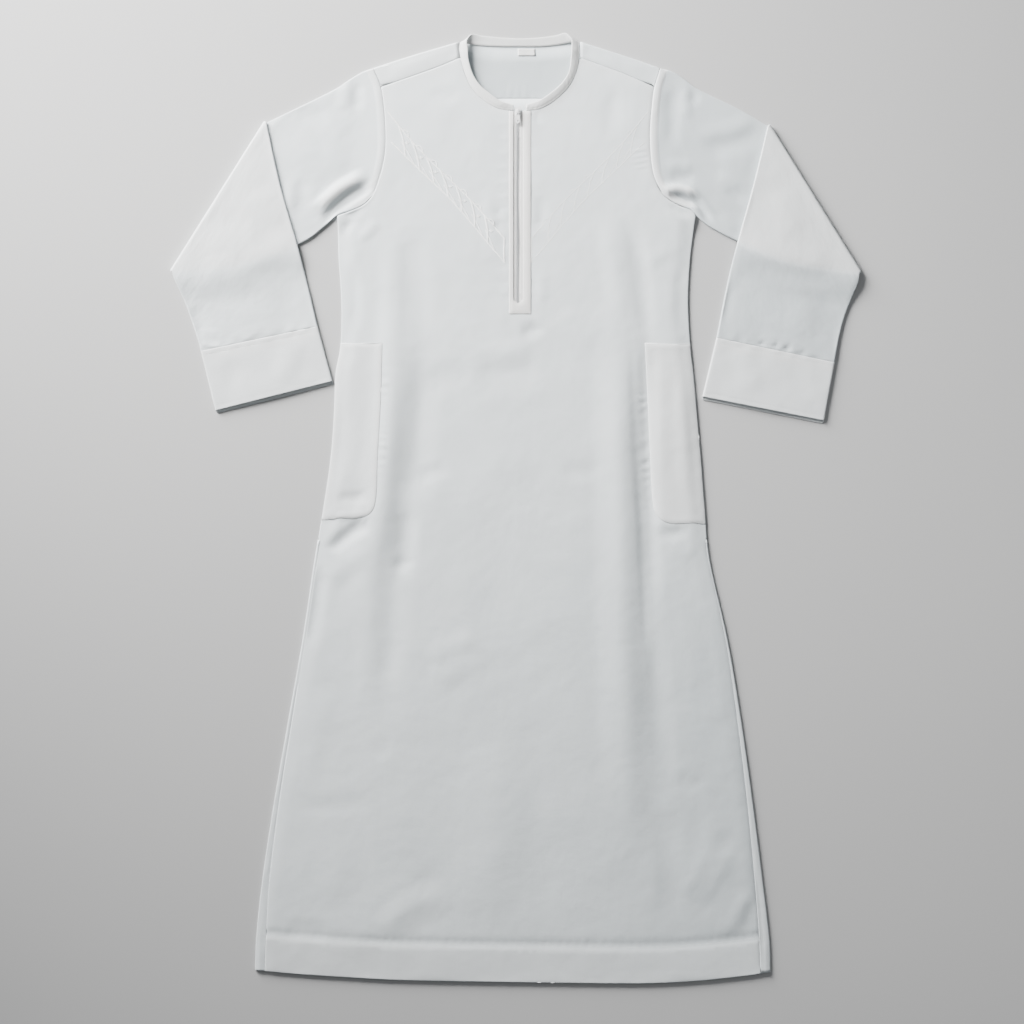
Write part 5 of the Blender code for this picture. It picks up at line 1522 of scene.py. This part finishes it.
def embroidery_lines():
    upper, lower = along(UPPER_LINE), along(LOWER_LINE)
    bold = [through(UPPER_LINE, 8), through(LOWER_LINE, 8), [(-17, 402), (-17.5, 384), (-17, 367)]]
    fine = []
    for share, after in zip(BAR_SHARES[:-1], BAR_SHARES[1:]):
        top, foot = upper(share), lower(share + 0.02)
        bend = (top + foot) / 2 + (2.0, 0)
        bold.append([top, bend, foot])
        side = lower(after - 0.02)
        knee = upper(share) * 0.42 + lower(share) * 0.58
        fine.append([knee, (knee + side) / 2 + (0, 1.6), side])
        heart = upper((share + after) / 2) * 0.62 + lower((share + after) / 2) * 0.38
        for angle in np.radians((35, 95, 155)):
            leaf = np.array((math.cos(angle), math.sin(angle))) * LEAF_LENGTH
            fine.append([heart, heart + leaf * 0.5 + (0.3, 0.2), heart + leaf])
        ahead = upper(share + 0.01) - upper(share)
        outward = unit(np.array((-ahead[1], ahead[0])))
        start, end = upper(share + 0.03), upper(after - 0.03)
        peak = (start + end) / 2 + outward * BUMP_HEIGHT
        shoulders = [foot * 0.4 + peak * 0.6 + outward for foot in (start, end)]
        fine.append([start, shoulders[0], peak, shoulders[1], end])
    return bold, fine


def embroider(side, lift, scale, material):
    """One arm of the V. The left stands higher than the right, and its whiter satin colour is partly
    painted sheen.
    """
    for kind, lines, length in zip(("lines", "leaves"), embroidery_lines(), (0.0026, 0.0015)):
        paths = []
        for line in lines:
            paths += on_cloth(mirrored(through(line, 6), side), front, lift, 1.0)
        sew(f"embroidery_{kind}_{side}", paths, material, "white_cloth", Pitch=0.00046,
            Length=length * scale, Width=0.0007, Height=0.00042 * scale, Turn=1.3, **{"Turn Spread": 0.10})


# the left arm in the whiter satin colour, partly painted sheen; the right arm in plain thread
embroider("left", 0.20, 1.15, satin_painted_sheen)
embroider("right", 0.0, 0.6, thread_material)

# %% [markdown]
# ## Zip
# The zip is closed. Its two coils of plastic mesh in the middle, so one row of coil loops stands half a
# pitch behind the other. The slider sits at the top and its tab hangs down on the chain.

# %% Zip coils
# the coils' grey is partly their own tone and partly painted shade, for the shadowed slit between the
# placket's edges
zip_plastic = speckled_material("zip_plastic", 900.0, (0.42, 0.43, 0.44), (0.52, 0.53, 0.54), 0.3, 0.2,
                                Coat_Weight=0.15)
chain_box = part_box("zip_chain")
chain_z = (chain_box[0][2] + chain_box[1][2]) / 2 / MM
COIL_PITCH = 1.4
coil_paths = [[(ZIP_X + offset, y, chain_z) for y in np.arange(307.0 + phase, 584.0, COIL_PITCH)]
              for offset, phase in ((-0.95, 0.0), (0.95, COIL_PITCH / 2))]
zip_coils = sew("zip_coils", coil_paths, zip_plastic, "zip_teeth", Pitch=COIL_PITCH * MM, Length=0.0030,
                Width=0.00105, Height=0.0019, Turn=math.pi / 2, Sides=8, Rings=6,
                **{"Turn Spread": 0.0, "Size Spread": 0.0})
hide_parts("zip_chain")


# %% Slider and pull tab: the solids' own shape, in worn nickel plate
nickel = speckled_material("nickel_plate", 420.0, (0.92, 0.92, 0.92), (1.0, 1.0, 1.0), 0.3, 0.25,
                           detail=4.0, bump=0.00003, Metallic=0.30)
for name in ("zip_slider", "zip_pull_tab"):
    for place in bpy.data.objects[name].material_slots:
        place.link = "OBJECT"
        place.material = nickel

# %% [markdown]
# ## Floor and light
# A plain pale floor, a large soft light from the upper left and a weak even fill. The light is low
# enough to draw the creases, and falls off towards the hem as in the photograph.

# %% Floor
floor_mesh = bpy.data.meshes.new("floor")
floor_mesh.from_pydata([(-4, -4, 0), (4, -4, 0), (4, 4, 0), (-4, 4, 0)], [], [(0, 1, 2, 3)])
floor_mesh.materials.append(
    speckled_material("studio_floor", 2.0, (0.44, 0.44, 0.442), (0.47, 0.468, 0.465), 0.8))
floor = in_scene("floor", floor_mesh)
floor.location.z = -0.0002


# %% Lights
def area_light(name, location, target, size, power, colour, spread=180.0):
    data = bpy.data.lights.new(name, "AREA")
    data.shape = "DISK"
    data.size, data.energy, data.color = size, power, colour
    data.spread = math.radians(spread)
    light = in_scene(name, data)
    light.location = location
    light.rotation_euler = (Vector(target) - Vector(location)).to_track_quat("-Z", "Y").to_euler()


area_light("key", (-1.7, 2.0, 1.0), (-0.1, 0.72, 0.0), 1.7, 128.0, (1.0, 0.995, 0.985), 90.0)
area_light("fill", (1.2, 0.4, 2.6), (0, 0.1, 0), 2.2, 10.0, (0.95, 0.975, 1.0))
world = bpy.data.worlds.new("studio")
world.use_nodes = True
sky = world.node_tree.nodes["Background"].inputs
sky["Color"].default_value = (0.93, 0.965, 1.0, 1)
sky["Strength"].default_value = 0.185
bpy.context.scene.world = world

# %% [markdown]
# ## Facts of the cloth
# The area of each piece's mesh is printed beside its cut size. The areas are those of the flat pieces, all
# round on the tubes.

# %% Sheets
CUTS = {
    # piece: width and length in metres, how it is held, what it lies on
    "front": (0.742, 1.383, "laid", ["back"]),
    "back": (0.815, 1.325, "folded", ["floor"]),
    "yoke": (0.420, 0.145, "folded", ["floor"]),
    "sleeve_left": (0.480, 0.520, "folded", ["floor"]),
    "sleeve_right": (0.480, 0.520, "folded", ["floor"]),
    "cuff_left": (0.385, 0.092, "folded", ["floor"]),
    "cuff_right": (0.385, 0.092, "folded", ["floor"]),
    "neck_band": (0.500, 0.026, "folded", ["front", "yoke"]),
    "placket": (0.033, 0.304, "laid", ["front"]),
    "pocket_left": (0.094, 0.266, "laid", ["front"]),
    "pocket_right": (0.094, 0.272, "laid", ["front"]),
    "tape_left": (0.010, 0.294, "laid", ["back"]),
    "tape_right": (0.012, 0.294, "laid", ["back"]),
    "label": (0.026, 0.0106, "laid", ["yoke"]),
}
for key, (width, length, held, below) in CUTS.items():
    found = sum(face.area for face in pieces[key].data.polygons)
    if key == "neck_band":
        found /= 2
    print(f"{key:13s} cloth {found:.4f} m2 of {width * length:.4f} m2")
